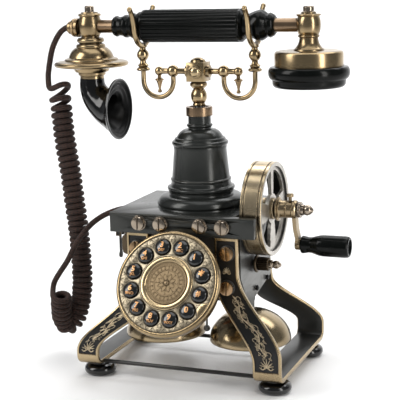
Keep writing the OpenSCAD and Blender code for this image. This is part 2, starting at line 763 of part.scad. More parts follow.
// Rim with two grooves and four broad spokes set inside
module flywheel() {
    w = wheel_x1 - wheel_x0;
    color("#b59a6a") place() translate([wheel_x0, 0, shaft_z]) along_x() {
        lathe([
            [38, 0], [40.4, 0], [wheel_r, 0.6], [wheel_r, 2.6], [40.3, 2.9], [40.3, 3.5], [wheel_r, 3.8],
            [wheel_r, w - 3.8], [40.3, w - 3.5], [40.3, w - 2.9], [wheel_r, w - 2.6], [wheel_r, w - 0.6],
            [40.4, w], [38, w]]);
        translate([0, 0, w - 7]) linear_extrude(height = 3) difference() {
            circle(r = 38.2);
            for (a = [45 : 90 : 315])
                rotate([0, 0, a]) polygon(concat(arc(0, 0, 33, -33, 33, 8), arc(0, 0, 12, 10, -10, 3)));
            circle(r = shaft_r);
        }
        difference() {
            translate([0, 0, w - 12]) cylinder(r = 9, h = 14);
            translate([0, 0, w - 13]) cylinder(r = shaft_r, h = 16);
        }
    }
}

// Shaft, sleeve, set screw, twisted arm and the pin of the handle
module crank() {
    color("#9a7b4a") place() {
        translate([notch_x - 6.4, 0, shaft_z]) along_x() cylinder(r = shaft_r, h = 97 - notch_x + 6.4);
        translate([wheel_x1 + 2, 0, shaft_z]) along_x() lathe([
            [0, 0], [10.4, 0], [10.4, 1.4], [8, 2.4], [7.6, 3.4], [7.6, 14.4], [8.1, 15], [8.1, 17.6],
            [7.4, 18.6], [0, 18.6]]);
        translate([82, 0, shaft_z + 7]) cylinder(r = 1.6, h = 6, $fn = 32);
        translate([85.5, -4.5, shaft_z - 20]) cube([3, 9, 20]);
        translate([87, -4, shaft_z - crank_radius - 4]) cube([3.6, 8, 17]);
        translate([87, 0, shaft_z - crank_radius]) along_x() cylinder(r = 2.5, h = handle_x1 - 92);
        translate([87, 0, shaft_z - crank_radius]) along_x() cylinder(r = 5, h = 4.6);
    }
}

// Ribbed washer and acorn nut on the end of the shaft
module crank_nut() {
    color("#8a7b6d") place() translate([89.4, 0, shaft_z]) along_x() difference() {
        union() {
            difference() {
                cylinder(r = 6.8, h = 2.6);
                for (i = [0 : 17])
                    rotate([0, 0, 20 * i]) translate([7.3, 0, -1]) cylinder(r = 0.9, h = 5, $fn = 16);
            }
            lathe([
                [0, 2.4], [4.8, 2.4], [4.8, 5], [3.6, 5.6], [4.6, 6.6], [4.8, 8], [4, 10.4], [2.2, 12.4],
                [1.4, 13], [0, 13.4]]);
        }
        translate([0, 0, -1]) cylinder(r = shaft_r, h = 8.6);
    }
}

// Black waisted handle that turns on its pin
module crank_grip() {
    len_h = handle_x1 - 92.2;
    color("#151515") place() translate([92.2, 0, shaft_z - crank_radius]) along_x() lathe([
        [2.5 + run, 0], [7.2, 0], [7.8, 1], [7.4, 3.4], [6.8, 6], [6.9, 9], [8, 12.6], [8.9, 15.6],
        [9.3, 19], [9.4, len_h - 4], [9, len_h - 1.2], [8, len_h], [6.6, len_h], [6.2, len_h - 2.2],
        [0, len_h - 2.2], [0, len_h - 4.8], [2.5 + run, len_h - 4.8]]);
}

// Knurled knob with its shaft and acorn nut
module volume_knob() {
    color("#3a3028") place() translate([44, 0, knob_z]) along_x() {
        cylinder(r = 2.5, h = 14);
        translate([0, 0, -1.6]) cylinder(r = 4, h = 2);
        translate([0, 0, 6]) cylinder(r = 8, h = 4);
        translate([0, 0, 9.8]) linear_extrude(height = 11) difference() {
            circle(r = 5.6);
            for (i = [0 : 15])
                rotate([0, 0, 22.5 * i]) translate([5.9, 0]) circle(r = 0.8, $fn = 16);
        }
        translate([0, 0, 20.6]) lathe([
            [0, 0], [3.6, 0], [3.6, 2.4], [2.6, 3], [3.6, 4.2], [3.6, 6], [2.4, 8.2], [1, 9.4], [0, 9.6]]);
    }
}

// ---- cord ----

// Round rope through the given points
module rope(points, r) {
    for (i = [0 : len(points) - 2]) {
        d = points[i + 1] - points[i];
        len_d = norm(d);
        translate(points[i]) rotate([0, acos(d[2] / len_d), atan2(d[1], d[0])])
            cylinder(r = r, h = len_d, $fn = 24);
        translate(points[i]) sphere(r = r * 1.03, $fn = 24);
    }
}

// Handset cord: tail from the plug, coiled middle as one thick rope, lead to the gland
module cord() {
    color("#3a2a26") place() {
        rope([[-128.4, 0, 302.8], [-139, 0, 296], [-146.5, 0, 276], [-146.5, 0, 262], [-138, 0, 244]], 2.5);
        rope([
            [-136.2, 0, 240], [-134.9, 0, 218], [-133.1, 0, 199], [-130.3, 0, 178], [-127.2, 0, 150],
            [-124.5, 0, 126], [-123.3, 0, 100], [-122.7, 0, 74], [-125.2, 0, 48], [-130.5, -3, 31],
            [-136.5, -9, 29], [-137, -17, 43], [-133, -24, 58]], 9.4);
        rope([
            [-141, -23, 57], [-143.8, -21, 66], [-142, -19.5, 71.5], [-128, -18, 91], [-116, -15.5, 112.5],
            [-108, -8, 124], [-98, -1, 132], [-88, 3, 137], [-76, 6, 139.5], [-68, 8, 139.5]], 2.4);
    }
}

top_box();
tray();
box_screws();
turret();
turret_collar();
leg_left();
leg_right();
leg_screws();
feet();
cross_rods();
side_plate();
gong_left();
gong_right();
gong_nuts();
ringer_frame();
ringer_coils();
clapper();
dial_housing();
dial_bracket();
dial_face();
dial_trim();
medallion();
keypad_mat();
button_1();
button_2();
button_3();
button_4();
button_5();
button_6();
button_7();
button_8();
button_9();
button_0();
button_star();
button_hash();
circuit_board();
line_jack();
side_lever();
lever_guard();
cord_gland();
shaft_bearing();
stem();
cradle_hub();
cradle_arms();
cradle_forks();
drop_finials();
grip();
grip_collars();
handset_tube();
mouth_column();
horn();
ear_column();
receiver_can();
receiver_cap();
flywheel();
crank();
crank_nut();
crank_grip();
volume_knob();
cord();
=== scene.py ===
"""Studio picture of an open-frame desk telephone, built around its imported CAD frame.

Lengths in the code are millimetres measured from the turret axis; at() turns them into row-frame metres.
"""

import json
import math
import random

import bmesh
import bpy
from mathutils import Matrix, Vector
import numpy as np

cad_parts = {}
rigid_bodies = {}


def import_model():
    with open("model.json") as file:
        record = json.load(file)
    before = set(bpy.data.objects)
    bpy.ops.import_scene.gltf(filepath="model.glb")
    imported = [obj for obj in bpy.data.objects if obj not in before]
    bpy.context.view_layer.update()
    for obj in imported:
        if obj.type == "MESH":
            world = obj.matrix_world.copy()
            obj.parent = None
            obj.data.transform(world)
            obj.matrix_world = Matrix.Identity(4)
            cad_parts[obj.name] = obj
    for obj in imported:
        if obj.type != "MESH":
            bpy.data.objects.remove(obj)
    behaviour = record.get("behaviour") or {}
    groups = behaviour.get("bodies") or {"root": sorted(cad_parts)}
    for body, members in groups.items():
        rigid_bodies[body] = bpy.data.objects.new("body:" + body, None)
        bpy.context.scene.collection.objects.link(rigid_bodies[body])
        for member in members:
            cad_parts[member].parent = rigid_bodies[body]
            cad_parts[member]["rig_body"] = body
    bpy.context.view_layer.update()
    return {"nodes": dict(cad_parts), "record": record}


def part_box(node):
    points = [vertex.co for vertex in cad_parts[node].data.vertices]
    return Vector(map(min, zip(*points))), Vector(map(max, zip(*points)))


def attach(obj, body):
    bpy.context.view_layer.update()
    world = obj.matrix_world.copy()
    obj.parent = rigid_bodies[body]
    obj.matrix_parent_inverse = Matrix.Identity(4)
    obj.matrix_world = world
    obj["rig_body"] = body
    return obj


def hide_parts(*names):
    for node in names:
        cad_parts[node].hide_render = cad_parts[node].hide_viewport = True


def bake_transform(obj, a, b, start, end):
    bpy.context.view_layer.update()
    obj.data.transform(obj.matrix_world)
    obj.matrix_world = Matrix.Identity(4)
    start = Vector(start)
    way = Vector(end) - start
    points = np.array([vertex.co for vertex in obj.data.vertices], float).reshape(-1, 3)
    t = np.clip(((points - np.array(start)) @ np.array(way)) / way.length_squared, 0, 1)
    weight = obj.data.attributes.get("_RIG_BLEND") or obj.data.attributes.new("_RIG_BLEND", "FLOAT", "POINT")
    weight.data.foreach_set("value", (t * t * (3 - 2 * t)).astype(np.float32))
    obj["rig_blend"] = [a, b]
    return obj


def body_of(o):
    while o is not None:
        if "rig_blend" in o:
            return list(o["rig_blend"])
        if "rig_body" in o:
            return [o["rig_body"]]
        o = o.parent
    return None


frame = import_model()

MM = 0.001
DIAL_TILT = 30.0
HANDSET_Z = 305.0
GRIP_R = 14.2
FORK_X = 52.0
FORK_GAP = 0.55
SHAFT_Z = 147.4
CRANK_R = 30.5

rng = random.Random(7)
turret_low, turret_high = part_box("turret")
AXIS = Vector(((turret_low[0] + turret_high[0]) / 2, (turret_low[1] + turret_high[1]) / 2, 0))


def at(x, y, z):
    """Row-frame point of a place given in millimetres from the turret axis."""
    return AXIS + Vector((x, y, z)) * MM


def polar(radius, degrees):
    """The two coordinates of a point at a radius and an angle."""
    a = math.radians(degrees)
    return radius * math.cos(a), radius * math.sin(a)


def upright(x):
    """Place function for a body turned about a vertical axis at x."""
    return lambda u, v, h: at(x + u, v, h)


def sideways(y, z):
    """Place function for a body turned about an axis along x."""
    return lambda u, v, h: at(h, y + u, z + v)


def ease(s):
    """Smooth step between 0 and 1."""
    c = max(0, min(1, s))
    return c * c * (3 - 2 * c)


# ---- camera, stage and light ----

CAMERA_AZIMUTH = 21.4
CAMERA_ELEVATION = 11.25
CAMERA_ROLL = 1.5
CAMERA_DISTANCE = 1.025
CAMERA_TARGET_Z = 151.7
SENSOR = 36.0
FOCAL = 103.9
FRAMING_SHIFT = -0.0041


def new_object(name, data):
    """Object in the scene that shows the data."""
    made = bpy.data.objects.new(name, data)
    bpy.context.scene.collection.objects.link(made)
    return made


def add_camera():
    """Camera at the photograph's viewing angle, backed off from its target."""
    data = bpy.data.cameras.new("camera")
    data.sensor_width = SENSOR
    data.lens = FOCAL
    data.shift_x = FRAMING_SHIFT
    data.clip_start = 0.01
    camera = new_object("camera", data)
    place = Matrix.Translation(at(0, 0, CAMERA_TARGET_Z))
    for degrees, axis in ((CAMERA_AZIMUTH, "Z"), (90.0 - CAMERA_ELEVATION, "X"), (-CAMERA_ROLL, "Z")):
        place = place @ Matrix.Rotation(math.radians(degrees), 4, axis)
    camera.matrix_world = place @ Matrix.Translation((0, 0, CAMERA_DISTANCE))
    bpy.context.scene.camera = camera


def area_light(name, place, target, width, height, power, colour=(1, 1, 1)):
    """Soft box light at a place, aimed at a target."""
    data = bpy.data.lights.new(name, "AREA")
    data.energy = power
    data.color = colour
    data.shape = "RECTANGLE"
    data.size = width
    data.size_y = height
    light = new_object(name, data)
    aim = (target - place).to_track_quat("-Z", "Y").to_matrix().to_4x4()
    light.matrix_world = Matrix.Translation(place) @ aim


def add_lights():
    """Soft box at the left, a narrow strip at the right, wide panels above and behind, dim surround."""
    centre = at(0, 0, 170)
    area_light("key", centre + Vector((-0.85, -0.75, 0.70)), centre, 0.55, 1.0, 10.5, (1.0, 0.985, 0.96))
    area_light("strip", centre + Vector((0.95, -0.50, 0.30)), centre, 0.24, 1.0, 5.5, (1.0, 0.975, 0.94))
    area_light("top", centre + Vector((0.1, 0.1, 1.2)), centre, 1.2, 1.2, 7.5)
    wall = centre + Vector((-0.1, 1.25, 0))
    area_light("backdrop", centre + Vector((-0.1, 0.95, 1.25)), wall, 2.6, 0.7, 22.0)
    world = bpy.data.worlds.new("surround")
    world.use_nodes = True
    background = world.node_tree.nodes["Background"]
    background.inputs["Color"].default_value = (0.92, 0.95, 1.0, 1)
    background.inputs["Strength"].default_value = 0.24
    bpy.context.scene.world = world


# ---- node materials ----


class Shader:
    """One material being built from nodes around a Principled BSDF."""

    def __init__(self, name):
        self.material = bpy.data.materials.new(name)
        self.material.use_nodes = True
        self.tree = self.material.node_tree
        self.tree.nodes.clear()
        self.bsdf = self.node("BsdfPrincipled")
        self.node("OutputMaterial", Surface=self.bsdf.outputs["BSDF"])
        self.coords = self.out("Object", "TexCoord")

    def feed(self, socket, value):
        """Links an output to a socket, or sets the socket when value is a plain number or colour."""
        if isinstance(value, bpy.types.NodeSocket):
            self.tree.links.new(value, socket)
        else:
            socket.default_value = value

    def fill(self, node, inputs):
        """Feeds a node's sockets by name, with _ for a space."""
        for key, value in inputs.items():
            self.feed(node.inputs[key.replace("_", " ")], value)

    def node(self, kind, **inputs):
        """New shader node with these inputs."""
        node = self.tree.nodes.new("ShaderNode" + kind)
        self.fill(node, inputs)
        return node

    def out(self, socket, kind, **inputs):
        """Output of a new shader node with these inputs."""
        return self.node(kind, **inputs).outputs[socket]

    def set(self, **values):
        """Sets Principled sockets."""
        self.fill(self.bsdf, values)

    def stretch(self, scale):
        """Object coordinates multiplied per axis."""
        return self.out("Vector", "Mapping", Vector=self.coords, Scale=scale)

    def noise(self, scale, detail, roughness, vector=None):
        """Noise over the object's coordinates, or over the vector if one is given."""
        return self.out(
            "Fac", "TexNoise", Vector=vector or self.coords, Scale=scale, Detail=detail, Roughness=roughness)

    def span(self, value, low, high, to_low=0.0, to_high=1.0):
        """Value mapped from low..high to to_low..to_high, clamped."""
        return self.out(
            "Result", "MapRange", Value=value, From_Min=low, From_Max=high, To_Min=to_low, To_Max=to_high)

    def math(self, operation, *values):
        """Result of a math node over one or two values."""
        node = self.node("Math")
        node.operation = operation
        for socket, value in zip(node.inputs, values):
            self.feed(socket, value)
        return node.outputs["Value"]

    def mix(self, factor, a, b, blend="MIX"):
        """Colour between a and b, or a blended with b."""
        mix = self.node("Mix")
        mix.data_type = "RGBA"
        mix.blend_type = blend
        self.fill(mix, {"Factor": factor, "A": rgba(a), "B": rgba(b)})
        return mix.outputs["Result"]

    def hollow(self, reach):
        """1 on open surfaces, falling to 0 deep in corners, over reach millimetres."""
        shade = self.node("AmbientOcclusion", Distance=reach * MM)
        shade.samples = 6
        return shade.outputs["AO"]

    def facing_down(self):
        """1 where the surface faces straight down, 0 on its sides and above."""
        down = self.out("Z", "SeparateXYZ", Vector=self.out("Normal", "TexCoord"))
        return self.math("MULTIPLY", down, -1.0)

    def edges(self, low, high):
        """1 on worn outer edges, 0 elsewhere."""
        return self.span(self.out("Pointiness", "NewGeometry"), low, high)

    def bump(self, height, strength, depth, radius=0.0):
        """Fine surface relief of the given depth in millimetres, on softened edges if radius is given."""
        bump = self.node("Bump", Height=height, Strength=strength, Distance=depth * MM)
        if radius:
            soft = self.node("Bevel", Radius=radius * MM)
            soft.samples = 4
            self.feed(bump.inputs["Normal"], soft.outputs["Normal"])
        self.set(Normal=bump.outputs["Normal"])


def rgba(colour):
    """Colour with an alpha of 1, or a socket as it is."""
    return colour if isinstance(colour, bpy.types.NodeSocket) else (*colour, 1)


def aged_metal_with_shade(name, bright, dark, rough, patina, reach=7.0, edge=0.3, radius=0.25, shade_below=0.75):
    """Metal with brown patina in patches, patina and painted shade in hollows of the given reach, painted
    shade on its undersides, scratches and worn edges.
    """
    s = Shader(name)
    patches = s.span(s.noise(30, 4, 0.5), 0.46 - 0.2 * patina, 0.80)
    fine = s.noise(900, 3, 0.6)
    # Darkening in hollows by ambient occlusion: partly patina, partly painted shade.
    depth = s.span(s.hollow(reach), 0.4, 0.97, 1, 0)
    # Painted shade: surfaces that face down are darkened towards the dark colour.
    painted_under_shade = s.span(s.facing_down(), 0.1, 0.9, 0, shade_below * patina)
    # Patina patches together with the painted shade in hollows and below.
    patina_and_shade = s.math("MAXIMUM", s.math("MAXIMUM", s.math("MULTIPLY", patches, patina), depth), painted_under_shade)
    aged_and_shaded = s.mix(patina_and_shade, bright, dark)
    worn = s.mix(s.math("MULTIPLY", s.edges(0.52, 0.62), edge), aged_and_shaded, bright)
    tint = s.span(fine, 0.3, 0.7, 0.88, 1.06)
    s.set(Base_Color=s.mix(1.0, worn, tint, "MULTIPLY"), Metallic=1.0)
    s.set(Roughness=s.span(s.math("ADD", patina_and_shade, s.math("MULTIPLY", fine, 0.5)), 0.1, 1.2, *rough))
    s.bump(fine, 0.25, 0.03, radius)
    return s.material


def black_paint(name, colour, rough, radius=0.3):
    """Satin paint with soft orange peel, faint dust and slightly rubbed edges."""
    s = Shader(name)
    dust = s.span(s.noise(60, 5, 0.6), 0.45, 0.8)
    rubbed = s.math("MULTIPLY", s.edges(0.53, 0.63), 0.35)
    base = s.mix(s.math("MULTIPLY", dust, 0.3), colour, [c * 1.6 + 0.003 for c in colour])
    s.set(Base_Color=s.mix(rubbed, base, (0.16, 0.15, 0.13)), Metallic=0.35)
    s.set(Roughness=s.span(dust, 0, 1, rough, rough + 0.07), Specular_IOR_Level=0.5)
    s.bump(s.noise(700, 2, 0.5), 0.07, 0.05, radius)
    return s.material


def gloss_black(name, colour, rough, coat, specular):
    """Polished black plastic with hairline scratches and a trace of dust."""
    s = Shader(name)
    smear = s.span(s.noise(90, 5, 0.65), 0.4, 0.8)
    lines = s.noise(1400, 2, 0.5, s.stretch((1, 0.15, 0.6)))
    wear = s.math("ADD", smear, s.math("MULTIPLY", lines, 0.4))
    s.set(Base_Color=s.mix(s.math("MULTIPLY", smear, 0.3), colour, [c + 0.005 for c in colour]))
    s.set(Roughness=s.span(wear, 0.2, 1.4, rough, rough + 0.14), Specular_IOR_Level=specular)
    s.set(Coat_Weight=coat, Coat_Roughness=0.06)
    s.bump(lines, 0.06, 0.02, 0.25)
    return s.material


def brushed_metal(name, colour, dark, rough):
    """Steel or nickel with a brushed grain, grey stains and painted shade in hollows."""
    s = Shader(name)
    grain = s.noise(1100, 3, 0.6, s.stretch((1, 0.06, 1)))
    stain = s.span(s.noise(55, 6, 0.6), 0.45, 0.8)
    # Grey stains, and painted shade darkening the hollows by ambient occlusion.
    stain_and_shade = s.math("MAXIMUM", stain, s.span(s.hollow(3.0), 0.4, 0.95, 1.0, 0.0))
    s.set(Base_Color=s.mix(s.math("MULTIPLY", stain_and_shade, 0.75), colour, dark), Metallic=1.0)
    s.set(Roughness=s.span(grain, 0.3, 0.7, rough, rough + 0.14))
    s.bump(grain, 0.2, 0.02, 0.2)
    return s.material


def flat_coat(name, colour, other, rough, metallic=0.0, specular=0.5):
    """Plain moulded or coated surface with a fine mottle."""
    s = Shader(name)
    mottle = s.span(s.noise(300, 4, 0.6), 0.35, 0.7)
    s.set(Base_Color=s.mix(mottle, colour, other), Metallic=metallic, Specular_IOR_Level=specular)
    s.set(Roughness=s.span(mottle, 0, 1, rough, min(1, rough + 0.15)))
    s.bump(mottle, 0.15, 0.05, 0.2)
    return s.material


def winding(name):
    """Fine copper winding under dark varnish."""
    s = Shader(name)
    wave = s.node("TexWave", Vector=s.coords, Scale=900.0, Distortion=0.4)
    wave.bands_direction = "Z"
    wires = wave.outputs["Fac"]
    s.set(Base_Color=s.mix(wires, (0.09, 0.025, 0.01), (0.42, 0.16, 0.06)), Roughness=0.35, Coat_Weight=0.4)
    s.bump(wires, 0.5, 0.12)
    return s.material


def braid(name):
    """Woven textile sleeve: two thread directions crossing, read from the tube's own coordinates."""
    s = Shader(name)
    split = s.node("SeparateXYZ", Vector=s.out("UV", "TexCoord"))
    threads = []
    for turn in (8, -8):
        slope = s.math("ADD", split.outputs["X"], s.math("MULTIPLY", split.outputs["Y"], turn))
        threads.append(s.math("SINE", s.math("MULTIPLY", slope, 2 * math.pi)))
    raised = s.span(s.math("MAXIMUM", *threads), -0.6, 1.0)
    tone = s.span(s.noise(420, 4, 0.6), 0.3, 0.7)
    yarn = s.mix(tone, (0.013, 0.0050, 0.0030), (0.066, 0.027, 0.016))
    s.set(Base_Color=s.mix(raised, (0.003, 0.0015, 0.001), yarn), Roughness=0.82)
    s.set(Sheen_Weight=0.02, Sheen_Roughness=0.5)
    s.bump(raised, 0.8, 0.25)
    return s.material


def pale_coat(name):
    """Pale studio floor with a barely visible mottle."""
    s = Shader(name)
    s.set(Base_Color=s.mix(s.noise(6, 3, 0.5), (0.93, 0.93, 0.93), (0.96, 0.96, 0.96)), Roughness=0.6)
    return s.material


BRASS = (0.46, 0.345, 0.195)
OLD_BRASS = (0.055, 0.036, 0.020)

# Every look by name: the arguments of the function that makes it.
LOOKS = {
    black_paint: {  # colour, roughness, edge radius
        "black_paint": ((0.021, 0.023, 0.021), 0.23),
        "dark_steel": ((0.014, 0.014, 0.0145), 0.34),
        "panel_black": ((0.010, 0.010, 0.010), 0.36, 0.0),
        "lining_dark": ((0.022, 0.022, 0.020), 0.32, 0.0),
    },
    # Bright and dark colour, roughness from and to, patina, reach of the darkening in hollows (patina and
    # painted shade), worn edges, edge radius, painted shade below.
    aged_metal_with_shade: {
        "antique_brass": (BRASS, OLD_BRASS, (0.15, 0.34), 0.65),
        "dial_brass": ((0.41, 0.35, 0.25), (0.12, 0.095, 0.06), (0.4, 0.55), 0.15, 0.8),
        "polished_brass": ((0.52, 0.40, 0.235), OLD_BRASS, (0.2, 0.36), 0.45, 2.5),
        "medallion_brass": ((0.27, 0.20, 0.118), (0.05, 0.034, 0.02), (0.32, 0.48), 0.3, 1.6),
        "finial_bronze": ((0.38, 0.27, 0.15), OLD_BRASS, (0.18, 0.38), 0.7),
        "leg_brass": ((0.50, 0.39, 0.235), OLD_BRASS, (0.2, 0.4), 0.45, 4.0),
        "gong_brass": ((0.42, 0.33, 0.20), (0.045, 0.03, 0.018), (0.16, 0.3), 0.55, 12.0),
        "screw_bronze": ((0.40, 0.265, 0.15), (0.07, 0.042, 0.022), (0.2, 0.4), 0.5, 2.5),
        "screw_nickel": ((0.40, 0.335, 0.265), (0.06, 0.045, 0.032), (0.14, 0.3), 0.5, 3.5),
        "crank_brass": ((0.42, 0.325, 0.20), OLD_BRASS, (0.18, 0.38), 0.65),
        "knob_dark": ((0.13, 0.098, 0.065), (0.025, 0.019, 0.013), (0.26, 0.45), 0.6, 2.0),
        "digit_gold": ((0.78, 0.42, 0.19), (0.40, 0.19, 0.07), (0.4, 0.55), 0.2, 1.0),
        "wheel_brass": ((0.68, 0.55, 0.36), (0.03, 0.02, 0.012), (0.16, 0.34), 0.45, 24.0, 0.3, 0.25, 1.5),
        "brown_bronze": ((0.31, 0.215, 0.135), (0.07, 0.045, 0.027), (0.24, 0.4), 0.5),
        "relief_gold": ((0.72, 0.60, 0.41), (0.16, 0.11, 0.06), (0.25, 0.45), 0.3, 0.9, 0.3, 0.0),
    },
    brushed_metal: {  # colour, dark colour, roughness
        "grey_steel": ((0.20, 0.20, 0.19), (0.05, 0.05, 0.047), 0.3),
        "pale_silver": ((0.62, 0.59, 0.54), (0.26, 0.245, 0.22), 0.34),
    },
    gloss_black: {  # colour, roughness, coat, specular
        "foot_black": ((0.003, 0.003, 0.003), 0.16, 0.4, 0.4),
        "grip_black": ((0.0015, 0.0022, 0.0017), 0.18, 0.05, 0.14),
        "horn_black": ((0.002, 0.0022, 0.0022), 0.10, 0.3, 0.3),
        "button_black": ((0.003, 0.004, 0.004), 0.12, 0.5, 0.5),
    },
    flat_coat: {  # two colours, roughness, metallic, specular
        "mat_rubber": ((0.02, 0.02, 0.02), (0.045, 0.045, 0.045), 0.7),
        "board_green": ((0.01, 0.06, 0.025), (0.02, 0.10, 0.04), 0.35),
        "jack_black": ((0.010, 0.010, 0.010), (0.022, 0.022, 0.022), 0.4),
        "engraved_lines": ((0.030, 0.021, 0.012), (0.060, 0.044, 0.026), 0.55, 0.5),
        "deep_black": ((0.0012, 0.0014, 0.0014), (0.002, 0.002, 0.002), 0.3, 0.0, 0.12),
    },
    winding: {"coil_copper": ()},
    braid: {"cord_textile": ()},
    pale_coat: {"pale_floor": ()},
}
MATERIALS = {name: make(name, *look) for make, looks in LOOKS.items() for name, look in looks.items()}

NODE_SLOT = {part["node"]: part["material_slot"] for part in frame["record"]["subparts"]}


# ---- mesh helpers ----


def make_piece(name, bm, body, *looks):
    """Links a finished bmesh as one smooth object with these looks, riding on a body if one is named."""
    mesh = bpy.data.meshes.new(name)
    bm.to_mesh(mesh)
    bm.free()
    for polygon in mesh.polygons:
        polygon.use_smooth = True
    for look in looks:
        mesh.materials.append(MATERIALS[look])
    piece = new_object(name, mesh)
    if body:
        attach(piece, body)
    return piece


def finish_extra(name, bm, node, *looks):
    """Detail that rides with a CAD node's body and takes the given looks."""
    body = body_of(frame["nodes"][node])[0]
    piece = make_piece(name, bm, body, *looks)
    return piece


def finish_node(name, bm, node, *looks):
    """Detailed closed piece shown in place of a CAD node."""
    outward(bm)
    piece = finish_extra(name, bm, node, *looks)
    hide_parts(node)
    return piece


def soften(piece, width, angle=28.0, segments=2):
    """Rounds the hard edges of a piece."""
    bevel = piece.modifiers.new("soft_edges", "BEVEL")
    bevel.width = width * MM
    bevel.segments = segments
    bevel.limit_method = "ANGLE"
    bevel.angle_limit = math.radians(angle)
    bevel.harden_normals = True


def spline(points, steps):
    """Points on a Catmull-Rom curve through the given points, steps per span."""
    padded = [points[0] * 2 - points[1], *points, points[-1] * 2 - points[-2]]
    curve = []
    for a, b, c, d in zip(padded, padded[1:], padded[2:], padded[3:]):
        for step in range(steps):
            t = step / steps
            cubic = (3 * b - a - 3 * c + d) * t**3
            curve.append(0.5 * (2 * b + (c - a) * t + (2 * a - 5 * b + 4 * c - d) * t**2 + cubic))
    curve.append(points[-1])
    return curve


def frames_along(path):
    """Tangent and two side directions at each point, turned as little as possible."""
    count = len(path)
    tangents = [(path[min(i + 1, count - 1)] - path[max(i - 1, 0)]).normalized() for i in range(count)]
    side = tangents[0].orthogonal().normalized()
    frames = []
    for i, tangent in enumerate(tangents):
        if i:
            side = tangents[i - 1].rotation_difference(tangent) @ side
        side = (side - tangent * side.dot(tangent)).normalized()
        frames.append((tangent, side, tangent.cross(side)))
    return frames


def ring_at(bm, centre, directions, radius, sides):
    """Circle of new vertices round a point of a path; directions are the path's there."""
    _, side, other = directions
    ring = []
    for k in range(sides):
        u, v = polar(radius, 360.0 * k / sides)
        ring.append(bm.verts.new(centre + side * u + other * v))
    return ring


def skin(bm, rings, index_at=None):
    """Joins each ring of vertices to the next and closes both ends; returns the faces between rings."""
    faces = []
    for i, (one, two) in enumerate(zip(rings, rings[1:])):
        for k in range(len(one)):
            j = (k + 1) % len(one)
            faces.append(bm.faces.new((one[k], one[j], two[j], two[k])))
            if index_at:
                faces[-1].material_index = index_at(i, k)
    bm.faces.new(rings[0])
    bm.faces.new(reversed(rings[-1]))
    return faces


def sweep(bm, path, radii, sides, uv_length=None):
    """Adds a closed round tube along the path; texture coordinates repeat over uv_length if it is given."""
    uv = bm.loops.layers.uv.verify() if uv_length else None
    rings = [ring_at(bm, *row, sides) for row in zip(path, frames_along(path), radii)]
    faces = skin(bm, rings)
    if not uv:
        return
    travelled = 0.0
    for i, (a, b) in enumerate(zip(path, path[1:])):
        reached = travelled + (b - a).length
        for k in range(sides):
            corners = ((travelled, k), (travelled, k + 1), (reached, k + 1), (reached, k))
            for loop, (along, around) in zip(faces[i * sides + k].loops, corners):
                loop[uv].uv = (along / uv_length, around / sides)
        travelled = reached


def turn(bm, profile, place, steps, material_index=0):
    """Adds a body turned from (radius, height) millimetres; place maps (x, y, height) to the row frame."""
    rings = []
    for radius, height in profile:
        spots = [polar(radius, 360.0 * k / steps) for k in range(steps if radius > 1e-6 else 1)]
        rings.append([bm.verts.new(place(*spot, height)) for spot in spots])
    for lower, upper in zip(rings, rings[1:]):
        low, high = len(lower), len(upper)
        for k in range(steps):
            corners = (lower[k % low], lower[(k + 1) % low], upper[(k + 1) % high], upper[k % high])
            bm.faces.new(tuple(dict.fromkeys(corners))).material_index = material_index


def ball(bm, centre, radius, detail):
    """Adds a ball at a row-frame point; the radius is in millimetres."""
    bmesh.ops.create_uvsphere(
        bm, u_segments=detail, v_segments=max(6, detail // 2), radius=radius * MM,
        matrix=Matrix.Translation(centre))


def outward(bm):
    """Makes all faces of a bmesh point out."""
    bmesh.ops.recalc_face_normals(bm, faces=bm.faces)


# Nodes whose surface differs from their slot's usual look, and nodes made of flat sheet. The lever guard's
# dark look is painted shade, as it stands in shade below the box.
NODE_LOOK = {"handset_tube": "brown_bronze", "lever_guard": "knob_dark"}
FLAT_NODES = ("side_plate", "dial_bracket")


def dress_cad_nodes():
    """Gives every CAD node its material, and softened edges and smooth faces unless it is sheet."""
    for name, piece in frame["nodes"].items():
        piece.data.materials.clear()
        piece.data.materials.append(MATERIALS[NODE_LOOK.get(name, NODE_SLOT[name])])
        if name in FLAT_NODES:
            continue
        for polygon in piece.data.polygons:
            polygon.use_smooth = True
        weld = piece.modifiers.new("weld", "WELD")
        weld.merge_threshold = 0.01 * MM
        soften(piece, 0.35, 26)


# ---- cord ----

CORD_D = 5.2
CORD_SIDES = 12
COIL_LOOSE_FROM = 222.0
COIL_TOP = 262.5
POINTS_PER_TURN = 22
# Straight lead from the box, past the front of the coil, down to the coil's open end.
CORD_LEAD = (
    (-69.2, 8, 139.5), (-74, 8, 139.8), (-86, 4.5, 137.3), (-97, 1.5, 132.8), (-104.4, -2, 128),
    (-108, -8, 124), (-111.3, -13, 119), (-116.1, -15.5, 112.3), (-121.7, -17, 102.7), (-128, -18, 91.1),
    (-135.6, -18.5, 80.6), (-141.4, -19, 71.5), (-142.6, -20.5, 65.5))
# Middle line of the coil from its open end, round the bottom and up to the loose turns.
COIL_LINE = (
    (-131.8, -26, 61), (-134, -22, 52.1), (-136.6, -17.5, 42.9), (-138, -12.5, 33), (-136.5, -8, 26.9),
    (-132.7, -4, 28), (-128.4, -1, 36.5), (-125.2, 0, 49), (-122.9, 0, 61), (-122, 0, 73.5),
    (-122.3, 0, 88), (-123.2, 0, 105.9), (-124.5, 0, 125.9), (-127.2, 0, 150.4), (-130.3, 0, 178.5),
    (-133.1, 0, 199.5), (-134.9, 0, 218.4), (-135.8, 0, 232), (-136.6, 0, 248), (-136.6, 0, COIL_TOP))
# From the left side of the top turn up to the mouthpiece column of the handset.
CORD_TAIL = (
    (-146.2, -2.5, 259), (-146.6, -0.5, 265), (-145.2, 0, 273.2), (-141.3, 0, 286.8), (-133.4, 0, 299.4),
    (-126, 0, 304.4))


